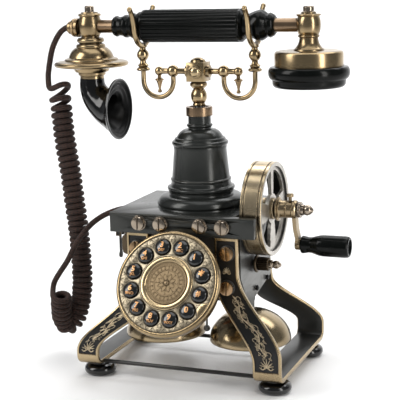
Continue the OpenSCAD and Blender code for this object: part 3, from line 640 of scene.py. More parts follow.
def coil_shape(z, rising):
    """Radius, pitch and tilt in degrees of the turns at a height; the rising side loosens at its top."""
    loose = ease((z - COIL_LOOSE_FROM) / (COIL_TOP - COIL_LOOSE_FROM)) if rising else 0.0
    dense = ease((z - 90.0) / 110.0) if rising else 0.0
    radius = 7.4 + 0.45 * dense + 1.8 * loose
    pitch = 5.3 + 0.4 * dense + 8.5 * loose**0.8
    tilt = 6.0 + 6.0 * dense + 23.0 * loose if rising else 0.0
    return radius, pitch, tilt


def coil_path():
    """Points along the coiled cord, wound round COIL_LINE."""
    line = spline([at(*p) for p in COIL_LINE], 60)
    back = Vector((0, 1, 0))
    points = []
    phase = 0.0
    position = 0.0
    travelled = 0.0
    bottom = min(range(len(line)), key=lambda i: line[i].z)
    for i, (a, b) in enumerate(zip(line, line[1:])):
        step = (b - a).length
        tangent = (b - a).normalized()
        away = (back - tangent * back.dot(tangent)).normalized()
        right = away.cross(tangent)
        while position < travelled + step:
            centre = a.lerp(b, (position - travelled) / step)
            radius, pitch, tilt = coil_shape(centre.z / MM, i > bottom)
            radius *= 1.0 + 0.03 * math.sin(phase * 0.37) + 0.02 * math.sin(phase * 0.91)
            level, rise = polar(1, tilt)
            lean = right * level + tangent * rise
            points.append(centre + (lean * math.cos(phase) + away * math.sin(phase)) * radius * MM)
            phase -= 2 * math.pi / POINTS_PER_TURN
            position += pitch * MM / POINTS_PER_TURN
        travelled += step
    while math.cos(phase) > -0.75 or math.sin(phase) > 0:
        phase += 2 * math.pi / POINTS_PER_TURN
        points.pop()
    return points


def smoothed(points):
    """Points averaged with their neighbours, ends kept."""
    inner = [(a + b * 2 + c) / 4 for a, b, c in zip(points, points[1:], points[2:])]
    return [points[0], *inner, points[-1]]


def add_cord():
    """Handset cord: straight lead from the box, tight coil hung in a loop, loose turns and the tail."""
    coil = coil_path()
    lead = spline([at(*p) for p in CORD_LEAD] + [coil[2], coil[5]], 8)
    tail = spline([coil[-8], coil[-2]] + [at(*p) for p in CORD_TAIL], 8)
    path = smoothed(smoothed(lead + coil[6:-8] + tail))
    run = sum((b - a).length for a, b in zip(path, path[1:]))
    bm = bmesh.new()
    sweep(bm, path, [CORD_D / 2 * MM] * len(path), CORD_SIDES, CORD_D * MM)
    outward(bm)
    cord = make_piece("handset_cord", bm, None, "cord_textile")
    # Below the first point the cord stays with the box, above the second it follows the handset.
    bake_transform(cord, "base", "handset", start=at(-128, 0, 170), end=at(-135, 0, 296))
    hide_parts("cord")
    tuple(path[0])
    [tuple(p) for p in path]


# ---- legs ----

LEG_TOP = 130.7
BAR_Z = 11.5
LEG_DEPTH_TOP = 51.0
LEG_DEPTH_FOOT = 68.0
LEG_CORNER = 9.0
BAND = 4.0
RECESS = 1.0
BORDER = 2.1
PANEL_TOP = 128.0
PANEL_FOOT = 22.0
PANEL_STEPS = 44
CORNER_STEPS = 8
SCREW_HEIGHTS = (117.7, 88)
FRONT_SCREW_X = 41.5
BACK_SCREW_X = 38.0
VINE_TOP = 82.0
VINE_FOOT = 36.0
VINE_NODES = 14
PALMETTE_SPREAD = 24.0

# Band edges: x at the box, x at the foot, height where the flare starts, height of the flare.
LEG_EDGES = {
    "leg_right": {
        "side": 1,
        "front": ((51, 93, 100, 66), (30, 68, 94, 66)),
        "back": ((47, 93, 71, 43), (29, 68, 53, 25)),
    },
    "leg_left": {
        "side": -1,
        "front": ((51, 96, 80.5, 56.5), (30, 75, 73, 48.5)),
        "back": ((47, 96, 71, 43), (29, 75, 53, 25)),
    },
}


def band_edge(edge, z):
    """Distance of an edge of a band from the middle of the telephone, over z."""
    top, foot, start, height = edge
    return top + (foot - top) * ease((start - z) / height)


def leg_depth(z):
    """Distance of the outer face of a band from the middle of the leg, over z."""
    return LEG_DEPTH_TOP + (LEG_DEPTH_FOOT - LEG_DEPTH_TOP) * ease((100 - z) / 66)


def leg_slope(z):
    """How fast the outer face of a band leans out going down, over z."""
    return leg_depth(z - 0.5) - leg_depth(z + 0.5)


def band_place(leg, half, z, across, depth):
    """Point on a front (-1) or back (1) band: across from the band's middle, depth inward from its face."""
    outer, inner = leg["front" if half < 0 else "back"]
    normal = Vector((0, half, leg_slope(z))).normalized()
    middle = (band_edge(outer, z) + band_edge(inner, z)) / 2
    return at(*(Vector((leg["side"] * (middle + across), half * leg_depth(z), z)) - normal * depth))


def leg_stations():
    """Stations round the loop of a leg: half, y, z, outward normal and whether the panel is sunk there."""
    panel = [PANEL_TOP + (PANEL_FOOT - PANEL_TOP) * i / PANEL_STEPS for i in range(PANEL_STEPS + 1)]
    down = []
    for z in (LEG_TOP, PANEL_TOP + 0.4, *panel, PANEL_FOOT - 0.4):
        normal = Vector((1, leg_slope(z))).normalized()
        down.append((leg_depth(z), z, normal.x, normal.y, PANEL_FOOT <= z <= PANEL_TOP))
    straight = LEG_DEPTH_FOOT - LEG_CORNER
    for i in range(1, CORNER_STEPS + 1):
        ny, nz = polar(1, -90.0 * i / CORNER_STEPS)
        down.append((straight + LEG_CORNER * ny, BAR_Z + LEG_CORNER * (1 + nz), ny, nz, False))
    for i in range(1, CORNER_STEPS):
        down.append((straight * (1 - i / CORNER_STEPS), BAR_Z, 0, -1, False))
    front = [(-1, -y, z, -ny, nz, sunk) for y, z, ny, nz, sunk in down]
    back = [(1, y, z, ny, nz, sunk) for y, z, ny, nz, sunk in reversed(down)]
    return front + [(-1, 0, BAR_Z, 0, -1, False)] + back


def mirrored(points, width):
    """Cross-section points from the left edge followed by their mirror images from the right edge."""
    return points + [(width - across, depth) for across, depth in reversed(points[:-1])]


def add_leg(name):
    """Band loop with rounded brass edges, a sunk black panel outside and dark paint inside."""
    leg = LEG_EDGES[name]
    bm = bmesh.new()
    rings = []
    flags = []
    for half, y, z, ny, nz, sunk in leg_stations():
        outer, inner = leg["front" if half < 0 else "back"]
        x0 = band_edge(inner, z)
        width = band_edge(outer, z) - x0
        floor = RECESS if sunk else 0.0
        border = [(0, 1), (0.3, 0.35), (0.9, 0), (BORDER, 0), (BORDER + 0.4, floor)]
        face = mirrored(border + [(width / 2, floor)], width)
        lining = mirrored([(0, BAND - 1.0), (0.3, BAND - 0.35), (0.9, BAND), (width / 2, BAND)], width)
        section = [at(leg["side"] * (x0 + d), y - ny * h, z - nz * h) for d, h in face + lining[::-1]]
        rings.append([bm.verts.new(point) for point in section])
        flags.append(sunk)

    def index_at(i, k):
        if flags[i] and flags[i + 1] and 3 <= k < len(face) - 4:
            return 1
        return 2 if len(face) + 2 <= k < len(section) - 3 else 0

    skin(bm, rings, index_at)
    piece = finish_node(name + "_band", bm, name, "leg_brass", "panel_black", "lining_dark")
    split = piece.modifiers.new("crisp", "EDGE_SPLIT")
    split.split_angle = math.radians(50)


def stroke(bm, place, points, radius, taper=0.35, steps=5):
    """One raised line of relief; place maps (a, b) in the panel to the row frame."""
    path = [place(*v) for v in spline([Vector(pair) for pair in points], steps)]
    last = len(path) - 1
    thin = 0.6 * (1.0 - taper)
    radii = [radius * MM * (1.0 - thin * abs(2 * i / last - 0.7) ** 1.5) for i in range(last + 1)]
    sweep(bm, path, radii, 6)


def curl(a, b, size, start, sweep_angle):
    """Points of a scroll that winds in towards (a, b)."""
    points = []
    for i in range(9):
        t = i / 8
        u, v = polar(size * (1.0 - 0.78 * t), start + sweep_angle * t)
        points.append((a + u, b + v))
    return points


def leaf(bm, place, a, b, degrees, length, width, radius):
    """Pointed leaf: two bowed lines that meet at the tip."""
    c, s = polar(1, degrees)
    for bow in (-1, 1):
        points = []
        for t, w in ((0, 0), (0.35, 1), (0.7, 0.75), (1, 0)):
            u, v = length * t, bow * width * w
            points.append((a + u * c - v * s, b + u * s + v * c))
        stroke(bm, place, points, radius, steps=3)


def vine(bm, place):
    """Climbing vine: a waving stem with scrolls, small leaves and berries on both sides."""
    step = (VINE_TOP - VINE_FOOT) / (VINE_NODES - 1)
    stem = [(2.5 * math.sin(i * 0.95 + 0.4), VINE_TOP - step * i) for i in range(VINE_NODES)]
    stroke(bm, place, stem, 0.36, 0.7)
    for i, (a, z) in enumerate(stem[1:], 1):
        side = 1 if i % 2 else -1
        reach = 2.6 + 0.8 * rng.random()
        scroll = curl(a + side * reach, z + 1.2, reach, 90.0 + side * 90.0, -side * 240.0)
        stroke(bm, place, scroll, 0.25)
        for k in range(3):
            degrees = 90 + side * (30 + 42 * k + 12 * rng.random())
            leaf(bm, place, a - side * 0.5 * k, z + 0.6 - 0.7 * k, degrees, 4.0 - 0.4 * k, 0.55, 0.2)
        degrees = -90 + side * (40 + 20 * rng.random())
        leaf(bm, place, a + side * 2.0, z - 1.2, degrees, 3.2, 0.55, 0.2)
        ball(bm, place(a + side * (reach + 0.4), z - 0.6), 0.45, 8)


def palmette(bm, place, z, height, radius):
    """Fan of leaves above two scrolls."""
    for k in range(-3, 4):
        x, rise = polar(height * (1.0 - 0.07 * abs(k)), 90 + PALMETTE_SPREAD * k)
        stroke(bm, place, [(k * 0.35, z), (x * 0.5, z + rise * 0.62), (x, z + rise)], radius, 0.5)
    for side in (-1, 1):
        scroll = curl(side * height * 0.5, z + 0.1, height * 0.36, 90, side * 300.0)
        stem = [(side * 0.3, z), (side * height * 0.45, z - height * 0.22), (side * height * 0.8, z)]
        for points in (scroll, stem):
            stroke(bm, place, points, radius)


def add_leg_relief(name):
    """Cast vine, palmettes and the collars under the screws on one leg."""
    leg = LEG_EDGES[name]
    bm = bmesh.new()
    collars = bmesh.new()
    profile = [(0, -RECESS), (6.9, -RECESS), (6.9, 0), (6.4, 0.45), (0, 0.45)]
    for half, screw_x in ((-1, FRONT_SCREW_X), (1, BACK_SCREW_X)):
        def sunk(a, b):
            return band_place(leg, half, b, a, RECESS - 0.3)

        def shallow(a, b):
            return band_place(leg, half, b, a, RECESS - 0.05)

        vine(bm, sunk)
        palmette(bm, sunk, 26, 8, 0.32)
        palmette(bm, shallow, 100.6, 5, 0.3)
        for z in SCREW_HEIGHTS:
            def on_band(u, v, h):
                return at(leg["side"] * screw_x + u, half * (leg_depth(z) + h), z + v)

            turn(collars, profile, on_band, 32)
    outward(bm)
    outward(collars)
    finish_extra(name + "_relief", bm, name, "relief_gold")
    finish_extra(name + "_screw_collars", collars, name, "lining_dark")


# ---- dial ----

DIAL_CENTRE = (0, -85, 98)
BUTTON_CIRCLE = 31.7
FIRST_ANGLE = 105.6
BUTTON_ORDER = ("3", "2", "1", "star", "hash", "0", "9", "8", "7", "6", "5", "4")
BUTTON_STEP = 30.0
KEY_LETTERS = {
    "2": "ABC", "3": "DEF", "4": "GHI", "5": "JKL", "6": "MNO", "7": "PRS", "8": "TUV", "9": "WXY"}
# Sign, its size and its place up the button, for the two keys that carry no digit.
KEY_SIGNS = {"star": ("*", 8.5, -0.9), "hash": ("#", 4.9, 0.3)}
DOME = ((0, 3.6), (2.4, 3.4), (4.6, 2.8), (6.1, 1.9), (6.7, 0.9))
SCROLLS = 48
SCROLL_R = 40.2
MEDALLION_PROFILE = (
    (0, -3), (18.2, -3), (18.2, 0.1), (17.9, 0.6), (17.3, 0.6), (17, 0.1), (16.9, 0.1), (15.3, 0.1),
    (15.2, 0.1), (15.1, 0.5), (14.7, 0.5), (14.6, 0.1), (14.5, 0.1), (11.7, 0.1), (11.6, 0.1),
    (11.5, 0.6), (10.9, 0.6), (10.8, 0.1), (10.7, 0.1), (10.4, 0.1), (0, 0.1))


def on_dial(x, y, out=0.0):
    """Row-frame point of dial coordinates: x right, y up the dial, out of the face."""
    c, s = polar(1, DIAL_TILT)
    centre_x, centre_y, centre_z = DIAL_CENTRE
    return at(centre_x + x, centre_y + y * s - out * c, centre_z + y * c + out * s)


def on_dial_polar(radius, degrees, out=0.0):
    """Row-frame point of the dial at a radius and an angle."""
    return on_dial(*polar(radius, degrees), out)


def ring_line(bm, radius, tube, centre=(0.0, 0.0), steps=96):
    """Thin raised ring on the dial."""
    path = []
    for k in range(steps + 1):
        x, y = polar(radius, 360.0 * k / steps)
        path.append(on_dial(centre[0] + x, centre[1] + y))
    sweep(bm, path, [tube * MM] * len(path), 6)


def add_dial_scrollwork():
    """Engraved band of scrolls outside the buttons, leaf curls between them, fine rings, and a dark ring
    round each button that is a painted shadow.
    """
    bm = bmesh.new()

    def band(a, b):
        return on_dial_polar(b, a, 0.08)

    def scroll(middle, radius, size, start, sweep_angle, stretch):
        points = [(middle + a * stretch, radius + b) for a, b in curl(0, 0, size, start, sweep_angle)]
        stroke(bm, band, points, 0.15)

    for i in range(SCROLLS):
        middle = 360.0 * i / SCROLLS
        flip = 1 if i % 2 else -1
        scroll(middle, SCROLL_R, 1.35, 90.0 * flip, flip * 330.0, 1.45)
        link = [(middle + a, SCROLL_R + flip * b) for a, b in ((-3.4, 1.5), (0, -1.7), (3.4, 1.5))]
        stroke(bm, band, link, 0.13)
    for i in range(len(BUTTON_ORDER)):
        button = FIRST_ANGLE - BUTTON_STEP * i
        middle = button - BUTTON_STEP / 2
        for side in (-1, 1):
            scroll(middle + side * 1.6, 36.9, 1.5, -90, side * 320.0, 1.5)
            stem = [(middle, 33.6), (middle + side, 35), (middle + side * 3.2, 37.6)]
            stroke(bm, band, stem, 0.14)
        # Painted shadow: a thin dark ring round each button.
        ring_line(bm, 7.35, 0.16, polar(BUTTON_CIRCLE, button), 40)
    for radius, tube in ((22.2, 0.14), (24.6, 0.2), (38, 0.1), (42.1, 0.24)):
        ring_line(bm, radius, tube)
    outward(bm)
    finish_extra("dial_scrollwork", bm, "dial_face", "engraved_lines")


def add_medallion():
    """Centre plate with beads, rings, a border of small lozenges and a plain rosette."""
    bm = bmesh.new()
    turn(bm, MEDALLION_PROFILE, on_dial, 96)
    for k in range(60):
        ball(bm, on_dial_polar(16.1, 6.0 * k, 0.1), 0.45, 6)
    for k in range(24):
        def border(u, v):
            return on_dial_polar(13.2 + v, 15.0 * k + u, 0.15)

        leaf(bm, border, 0, -1.4, 90, 2.8, 2.4 if k % 2 else 1.2, 0.2)

    def plate(u, v):
        return on_dial(u, v, 0.2)

    for degrees in range(0, 360, 45):
        between = degrees + 22.5
        leaf(bm, plate, *polar(2, between), between, 6.4, 1.7, 0.34)
        stroke(bm, plate, [polar(radius, degrees) for radius in (2.4, 5.2, 8.6)], 0.26)
        ball(bm, on_dial_polar(9.4, degrees, 0.2), 0.5, 8)
    turn(bm, [(2.2, 0.4), (2, 1.1), (1.2, 1.5), (0, 1.6)], on_dial, 24)
    finish_node("medallion_rosette", bm, "medallion", "medallion_brass")


def dome_height(radius):
    """Height of a button's dome at a radius."""
    for (r0, h0), (r1, h1) in zip(DOME, DOME[1:]):
        if radius <= r1:
            return h0 + (h1 - h0) * (radius - r0) / (r1 - r0)
    return DOME[-1][1]


def text_mesh(words, size):
    """Mesh of generic keypad characters, centred, size millimetres tall."""
    curve = bpy.data.curves.new("key_text", "FONT")
    curve.body = words
    curve.size = size * 1.38
    curve.align_x = "CENTER"
    curve.align_y = "CENTER"
    curve.extrude = 0.12
    curve.offset = 0.035 * size
    curve.resolution_u = 4
    holder = new_object("key_text", curve)
    bpy.context.view_layer.update()
    mesh = bpy.data.meshes.new_from_object(holder.evaluated_get(bpy.context.evaluated_depsgraph_get()))
    bpy.data.objects.remove(holder)
    bpy.data.curves.remove(curve)
    return mesh


def add_key_signs(index, key):
    """Digit and small letters lying on the dome of one button."""
    cx, cy = polar(BUTTON_CIRCLE, FIRST_ANGLE - BUTTON_STEP * index)
    lines = [KEY_SIGNS.get(key, (key, 4.9, 1.3 if key in KEY_LETTERS else 0.3))]
    if key in KEY_LETTERS:
        lines.append((KEY_LETTERS[key], 2.3, -3.1))
    bm = bmesh.new()
    for words, size, offset in lines:
        flat = text_mesh(words, size)
        before = len(bm.verts)
        bm.from_mesh(flat)
        bpy.data.meshes.remove(flat)
        for vert in list(bm.verts)[before:]:
            vert.co.y += offset
    bmesh.ops.triangulate(bm, faces=bm.faces)
    long_edges = [edge for edge in bm.edges if edge.calc_length() > 0.9]
    bmesh.ops.subdivide_edges(bm, edges=long_edges, cuts=2)
    for vert in bm.verts:
        x, y, lift = vert.co
        vert.co = on_dial(cx + x, cy + y, dome_height(math.hypot(x, y)) + lift + 0.04)
    finish_extra("key_signs_" + key, bm, "button_" + key, "digit_gold")


# ---- cradle and handset ----


def add_forks():
    """Two slender forks with rounded tips, bent round the grip."""
    bm = bmesh.new()
    bend = [polar(GRIP_R + FORK_GAP + 2.1, degrees) for degrees in (-90, -72, -54, -38, -24, -10)]
    prong = bend + [(17.6, 2.5), (19.6, 8), (22.6, 12.6), (25, 15.2)]
    foot = [(0, 286.5), (2.9, 286.5), (3.6, 287.6), (3.2, 289), (2.2, 290), (0, 290.2)]
    for x in (-FORK_X, FORK_X):
        for side in (-1, 1):
            path = spline([at(x, side * y, HANDSET_Z + z) for y, z in prong], 6)
            last = len(path) - 1
            sweep(bm, path, [(2.5 - 0.35 * i / last) * MM for i in range(last + 1)], 16)
            ball(bm, path[-1], 2.35, 20)
        turn(bm, foot, upright(x), 24)
    finish_node("fork_prongs", bm, "cradle_forks", "antique_brass")


HUB_Z = 265.8
MOUTH_X = -102.8
HORN_TOP = 256.4
# Middle line of the horn from its top, and its outer and inner radii at even steps along it.
HORN_BEND = (
    (0, 2.5), (0, -3), (1.2, -8.5), (4.4, -14.4), (9.6, -19.6), (15.4, -23.2), (20.4, -24.7), (23.4, -25),
    (25, -25), (26.2, -25))
HORN_OUTSIDE = (10.9, 11.4, 12.2, 13.6, 15.2, 17.4, 20.6, 24.2, 27.2, 27.3)
HORN_BORE = (7.6, 7.8, 8.4, 9.4, 10.8, 12.8, 16, 20.4, 24.6, 26.2)
BORE_END = 11


def between(sizes, t):
    """Size at a share t of the way through evenly spaced sizes."""
    spot = t * (len(sizes) - 1)
    k = min(int(spot), len(sizes) - 2)
    return sizes[k] + (sizes[k + 1] - sizes[k]) * (spot - k)


def add_horn():
    """Horn that widens round its bend into a rolled mouth, hollow inside."""
    bm = bmesh.new()
    path = spline([at(MOUTH_X + x, 0, HORN_TOP + z) for x, z in HORN_BEND], 6)
    directions = frames_along(path)
    last = len(path) - 1
    order = [(i, HORN_OUTSIDE) for i in range(last + 1)]
    order += [(i, HORN_BORE) for i in range(last, BORE_END - 1, -1)]
    rings = []
    for i, sizes in order:
        rings.append(ring_at(bm, path[i], directions[i], between(sizes, i / last) * MM, 56))
    # The bore takes deep_black, a darker and less glossy black than the outside: painted shade inside the
    # horn.
    skin(bm, rings, lambda i, k: int(i > last + 1))
    horn = finish_node("horn_shell", bm, "horn", "horn_black", "deep_black")
    soften(horn, 0.5, 50, 3)


def add_hub_bosses():
    """Ring and dome on the front and back faces of the cube hub."""
    bm = bmesh.new()
    profile = [(0, 9), (5.4, 9), (5.4, 10), (4.9, 10.3), (4.4, 9.9), (4, 10.6), (2.6, 11.5), (0, 11.9)]
    for side in (-1, 1):
        turn(bm, profile, lambda u, v, h: at(u, side * h, HUB_Z + v), 40)
    outward(bm)
    finish_extra("hub_bosses", bm, "cradle_hub", "polished_brass")


# ---- turned pieces ----

EAR_X = 99.6

# Half profiles as runs of (radius, height); each run is one smooth curve, with an edge between runs.
TURRET_PROFILE = (
    ((38.6, 148), (38.2, 149.2), (38.9, 150.4), (38.8, 152), (37.4, 154.9), (34.8, 157.3), (31.5, 158.5),
    (28.8, 158.8)), ((28.4, 159.7), (28.7, 161.6), (29.6, 162.8), (29.9, 164.2), (29.4, 165.2),
    (27.8, 165.6)), ((26.9, 166.6), (26.3, 169.2)), ((26.4, 170.4), (26.8, 171.4), (26.5, 172.4)),
    ((25.6, 173), (23.2, 198.2)), ((23.6, 200.2), (23.4, 201.2)), ((24.5, 202.2), (24.9, 203.8),
    (24.3, 205.2)), ((22.9, 205.8), (22.6, 206.9)), ((21.8, 208.1), (20.7, 208.4)), ((20.7, 208.4),
    (19.4, 210.6), (17.1, 213.4), (13.9, 215.3)), ((10.1, 216), (10.1, 217.2)), ((11, 217.8), (11.5, 218.9),
    (11, 219.9)), ((10, 220.4), (10, 227.5)))
COLLAR_PROFILE = (
    ((4.1, 227.5), (11, 227.5), (11.6, 228.1), (11.6, 234.4), (11, 235), (8.6, 235.2), (8, 234.2),
    (4.1, 234.2)),)
MOUTH_PROFILE = (
    ((8.6, 256.6), (10.6, 256.4)), ((10.8, 257.6), (10.8, 261.4)), ((12.2, 262), (12.4, 264.2)),
    ((14.9, 264.8), (15.8, 266.4), (16.6, 268.6)), ((29, 269.2), (32.2, 270), (33.2, 271.4), (33, 272.8),
    (31.2, 274), (27.5, 274.6)), ((24.2, 275.2), (23.8, 276.4)), ((20.2, 277.6), (19.2, 280.4),
    (17.4, 283.4), (14.6, 286)), ((13, 286.6), (13.1, 288.2), (12.2, 289.4)), ((10.2, 289.9),
    (10.4, 290.7)), ((11.9, 291.4), (12.2, 293.2), (11.2, 294.8)), ((8.2, 295.4), (8.2, 296.3)),
    ((8.2, 296.3), (9.4, 298.8), (10.5, 303.6), (10.6, 307.2), (9.8, 311), (8.9, 313.9)), ((10, 314.4),
    (10.2, 315.4), (9.6, 316.3)), ((7.7, 316.8), (7.5, 317.7)))
EAR_PROFILE = (
    ((12.8, 284), (12.4, 285.2), (10.9, 286.6), (9, 289.6), (8.1, 292.6), (7.9, 294.6)), ((8.9, 295),
    (9.2, 295.7), (9, 296.4)), ((8.3, 296.9), (9, 298.2), (9.8, 300.6), (10.2, 304.6), (9.9, 309),
    (9, 311.9)), ((9.8, 312.4), (10.4, 313.2), (10, 314)), ((6.4, 314.6), (6.4, 315.6)))
MOUTH_KNOB_PROFILE = (
    ((7.5, 317.7), (4.2, 318.2)), ((4.2, 318.2), (4.2, 322.3)), ((3.4, 323.3), (0, 323.5)))
EAR_KNOB_PROFILE = (
    ((6.4, 315.6), (4.7, 316.4)), ((4.7, 316.4), (4.7, 319.6)), ((4, 320.6), (0, 320.8)))
PLUG_PROFILE = (
    ((8.4, 0), (8.4, 2.4)), ((7.4, 3.2), (7.6, 3.6)), ((8.2, 4.2), (8.1, 5.2), (7.6, 6.4)), ((5.8, 7),
    (5.8, 9.6)), ((3.6, 12.2), (0, 12.2)))
CAN_PROFILE = (
    ((27, 269.5), (29, 269.5)), ((29, 269.5), (29, 281.2)), ((28.6, 282.6), (27.4, 283.5), (24.5, 284)),
    ((24.5, 284), (0, 284)))
CAP_PROFILE = (
    ((0, 254.8), (10, 254.8)), ((10, 254.8), (20, 253.4), (26, 253.2), (29, 253.8), (30.6, 255.6),
    (31, 258.2), (31.2, 259.6)), ((31.5, 260.1), (32.8, 260.8), (34, 263), (34.4, 265.6), (34, 268.4),
    (32.8, 270.3), (31, 271)), ((29.1, 271), (29.1, 269.5)))
FINIAL_PROFILE = (
    ((0, 246.6), (1.4, 247), (1.9, 248.2), (1.3, 249.5)), ((1, 250.2), (1.7, 253.4), (2.6, 256.4),
    (2.9, 257.4)), ((3.8, 257.7), (3.9, 258.4), (3.2, 259.1)), ((1.7, 259.8), (1.6, 262.6)))

PLUG_X = MOUTH_X - 10.4
PLUG_Z = 304.0
FINIAL_X = 36.8


def on_plug(u, v, h):
    """Place function of the cord plug, which points left out of the mouthpiece column."""
    return at(PLUG_X - h, u, PLUG_Z + v)


# Name, CAD node, edge width, and the profile, place and look of each turned part.
TURNED = (
    ("turret_body", "turret", 0.4, ((TURRET_PROFILE, upright(0.0), "black_paint"),)),
    ("turret_ring", "turret_collar", 0.4, ((COLLAR_PROFILE, upright(0.0), "brown_bronze"),)),
    ("mouth_column_body", "mouth_column", 0.25, (
        (MOUTH_PROFILE, upright(MOUTH_X), "antique_brass"),
        (MOUTH_KNOB_PROFILE, upright(MOUTH_X), "screw_nickel"),
        (PLUG_PROFILE, on_plug, "finial_bronze"))),
    ("ear_column_body", "ear_column", 0.25, (
        (EAR_PROFILE, upright(EAR_X), "antique_brass"),
        (EAR_KNOB_PROFILE, upright(EAR_X), "screw_nickel"))),
    ("receiver_can_body", "receiver_can", 0.4, ((CAN_PROFILE, upright(EAR_X), "antique_brass"),)),
    ("receiver_cap_body", "receiver_cap", 0.4, ((CAP_PROFILE, upright(EAR_X), "grip_black"),)),
    ("drop_finial_bodies", "drop_finials", 0.25, (
        (FINIAL_PROFILE, upright(-FINIAL_X), "finial_bronze"),
        (FINIAL_PROFILE, upright(FINIAL_X), "finial_bronze"))),
)


def smooth_profile(runs):
    """Profile points with each run of three or more points drawn as a curve."""
    points = []
    for run in runs:
        vectors = [Vector(pair) for pair in run]
        for v in spline(vectors, 5) if len(vectors) > 2 else vectors:
            if not points or (v - points[-1]).length > 1e-3:
                points.append(v)
    return [(max(0, v.x), v.y) for v in points]


def add_turned(name, node, edge, parts):
    """Turned pieces as one mesh that replaces a CAD node."""
    bm = bmesh.new()
    looks = list(dict.fromkeys(look for _, _, look in parts))
    for runs, place, look in parts:
        turn(bm, smooth_profile(runs), place, 144, looks.index(look))
    soften(finish_node(name, bm, node, *looks), edge, 24)


KNOB_Z = 97.2
KNURLS = 20
RIVETS = ((32.5, 76), (3, 74))


def add_volume_knob():
    """Knurled drum with a steel spindle and ball on the side plate."""
    bm = bmesh.new()
    place = sideways(0, KNOB_Z)
    turn(bm, [(0, 42.4), (4, 42.4), (4, 44.4), (2.6, 44.4), (2.6, 50), (0, 50)], place, 48)
    turn(bm, [(0, 49.8), (7.4, 49.8), (8, 50.4), (8, 51.6), (7, 52.2), (0, 52.2)], place, 64)
    rings = []
    for x, trim in ((52, 0.6), (52.6, 0), (61.6, 0), (62.2, 0.6)):
        ring = []
        for k in range(KNURLS * 4):
            radius = (5.9 if k % 4 < 2 else 5.0) - trim
            ring.append(bm.verts.new(place(*polar(radius, 90.0 * k / KNURLS), x)))
        rings.append(ring)
    skin(bm, rings)
    spindle = [
        (3.9, 62.1), (3.9, 64.8), (3.2, 65.4), (2.7, 66), (3.4, 67), (3.7, 68.6), (3.2, 70.6), (1.8, 72),
        (1.6, 72.8), (0, 73.6)]
    turn(bm, spindle, place, 48, 1)
    soften(finish_node("volume_knob_body", bm, "volume_knob", "knob_dark", "screw_nickel"), 0.2, 30.0)


def add_plate_rivets():
    """Two dark rivets on the side plate."""
    bm = bmesh.new()
    profile = [(0, 49.4), (2.6, 49.4), (2.5, 50.1), (1.7, 50.8), (0, 51)]
    for y, z in RIVETS:
        turn(bm, profile, sideways(y, z), 28)
    outward(bm)
    finish_extra("side_plate_rivets", bm, "side_plate", "deep_black")


# ---- crank and flywheel ----

WHEEL_X0 = 49.5
WHEEL_X1 = 68.5
WEB_X = WHEEL_X1 - 4.0
WHEEL_R = 41.0
GROOVE = 0.9
# Windows of the wheel in degrees from the top: inner start and end, outer start and end.
WHEEL_WINDOWS = ((10, 66, 5, 72), (294, 350, 288, 355), (118, 158, 104, 168), (202, 242, 192, 256))
# Radii of the rings of the web; the windows lie between the second and the last but one.
WEB_RADII = (9, 13, 18, 23, 28, 33.5, 37.4)


def in_window(ring, degrees):
    """Whether the web is open between a ring and the next, at an angle from the top."""
    share = (ring - 0.5) / (len(WEB_RADII) - 3)
    if not 0.0 < share < 1.0:
        return False
    for low, high, outer_low, outer_high in WHEEL_WINDOWS:
        if low + (outer_low - low) * share <= degrees <= high + (outer_high - high) * share:
            return True
    return False


def add_flywheel_rim():
    """Brass rim with two grooves, dark inside, and the wheel's boss."""
    bm = bmesh.new()
    place = sideways(0, SHAFT_Z)
    x0, x1, r = WHEEL_X0, WHEEL_X1, WHEEL_R
    grooves = []
    for x in (x0 + 2.5, x1 - 3.8):
        grooves += [(r, x), (r - GROOVE, x + 0.3), (r - GROOVE, x + 1.0), (r, x + 1.3)]
    band = [(38.2, x0 + 0.5), (38.6, x0), (40.5, x0), (r, x0 + 0.5), *grooves, (r, x1 - 0.5), (40.5, x1)]
    turn(bm, band, place, 128)
    turn(bm, [(40.5, x1), (37.6, x1), (37, x1 - 0.5)], place, 128, 1)
    turn(bm, [(37, x1 - 0.5), (37, x1 - 7.5), (38.2, x0 + 0.5)], place, 128, 2)
    boss = [(0, x1 - 12), (9.4, x1 - 12), (9.4, x1 - 0.5), (8.4, x1 + 0.6), (0, x1 + 0.6)]
    turn(bm, boss, place, 48)
    rim = finish_node("flywheel_rim", bm, "flywheel", "wheel_brass", "pale_silver", "lining_dark")
    soften(rim, 0.2, 30)


def add_flywheel_web():
    """Pale web with windows and broad arms."""
    web = bmesh.new()
    place = sideways(0, SHAFT_Z)
    grid = []
    for radius in WEB_RADII:
        spots = [polar(radius, degrees) for degrees in range(360)]
        grid.append([web.verts.new(place(across, up, WEB_X)) for up, across in spots])
    for i, (inner, outer) in enumerate(zip(grid, grid[1:])):
        for k in range(360):
            if not in_window(i, k + 0.5):
                j = (k + 1) % 360
                web.faces.new((inner[k], inner[j], outer[j], outer[k]))
    loose = [vert for vert in web.verts if not vert.link_faces]
    bmesh.ops.delete(web, geom=loose, context="VERTS")
    outward(web)
    spokes = finish_extra("flywheel_web", web, "flywheel", "pale_silver")
    thick = spokes.modifiers.new("thickness", "SOLIDIFY")
    thick.thickness = 3.0 * MM
    thick.offset = 0.0
    soften(spokes, 0.4, 40)


def bar(bm, stations, sections):
    """Rectangular bar through the stations; sections are (half width along y, half thickness)."""
    across = Vector((0, 1, 0))
    rings = []
    for (tangent, _, _), point, (half_y, half_t) in zip(frames_along(stations), stations, sections):
        normal = tangent.cross(across).normalized()
        rings.append([
            bm.verts.new(point + across * half_y * MM * a + normal * half_t * MM * b)
            for a, b in ((-1, -1), (1, -1), (1, 1), (-1, 1))])
    skin(bm, rings)


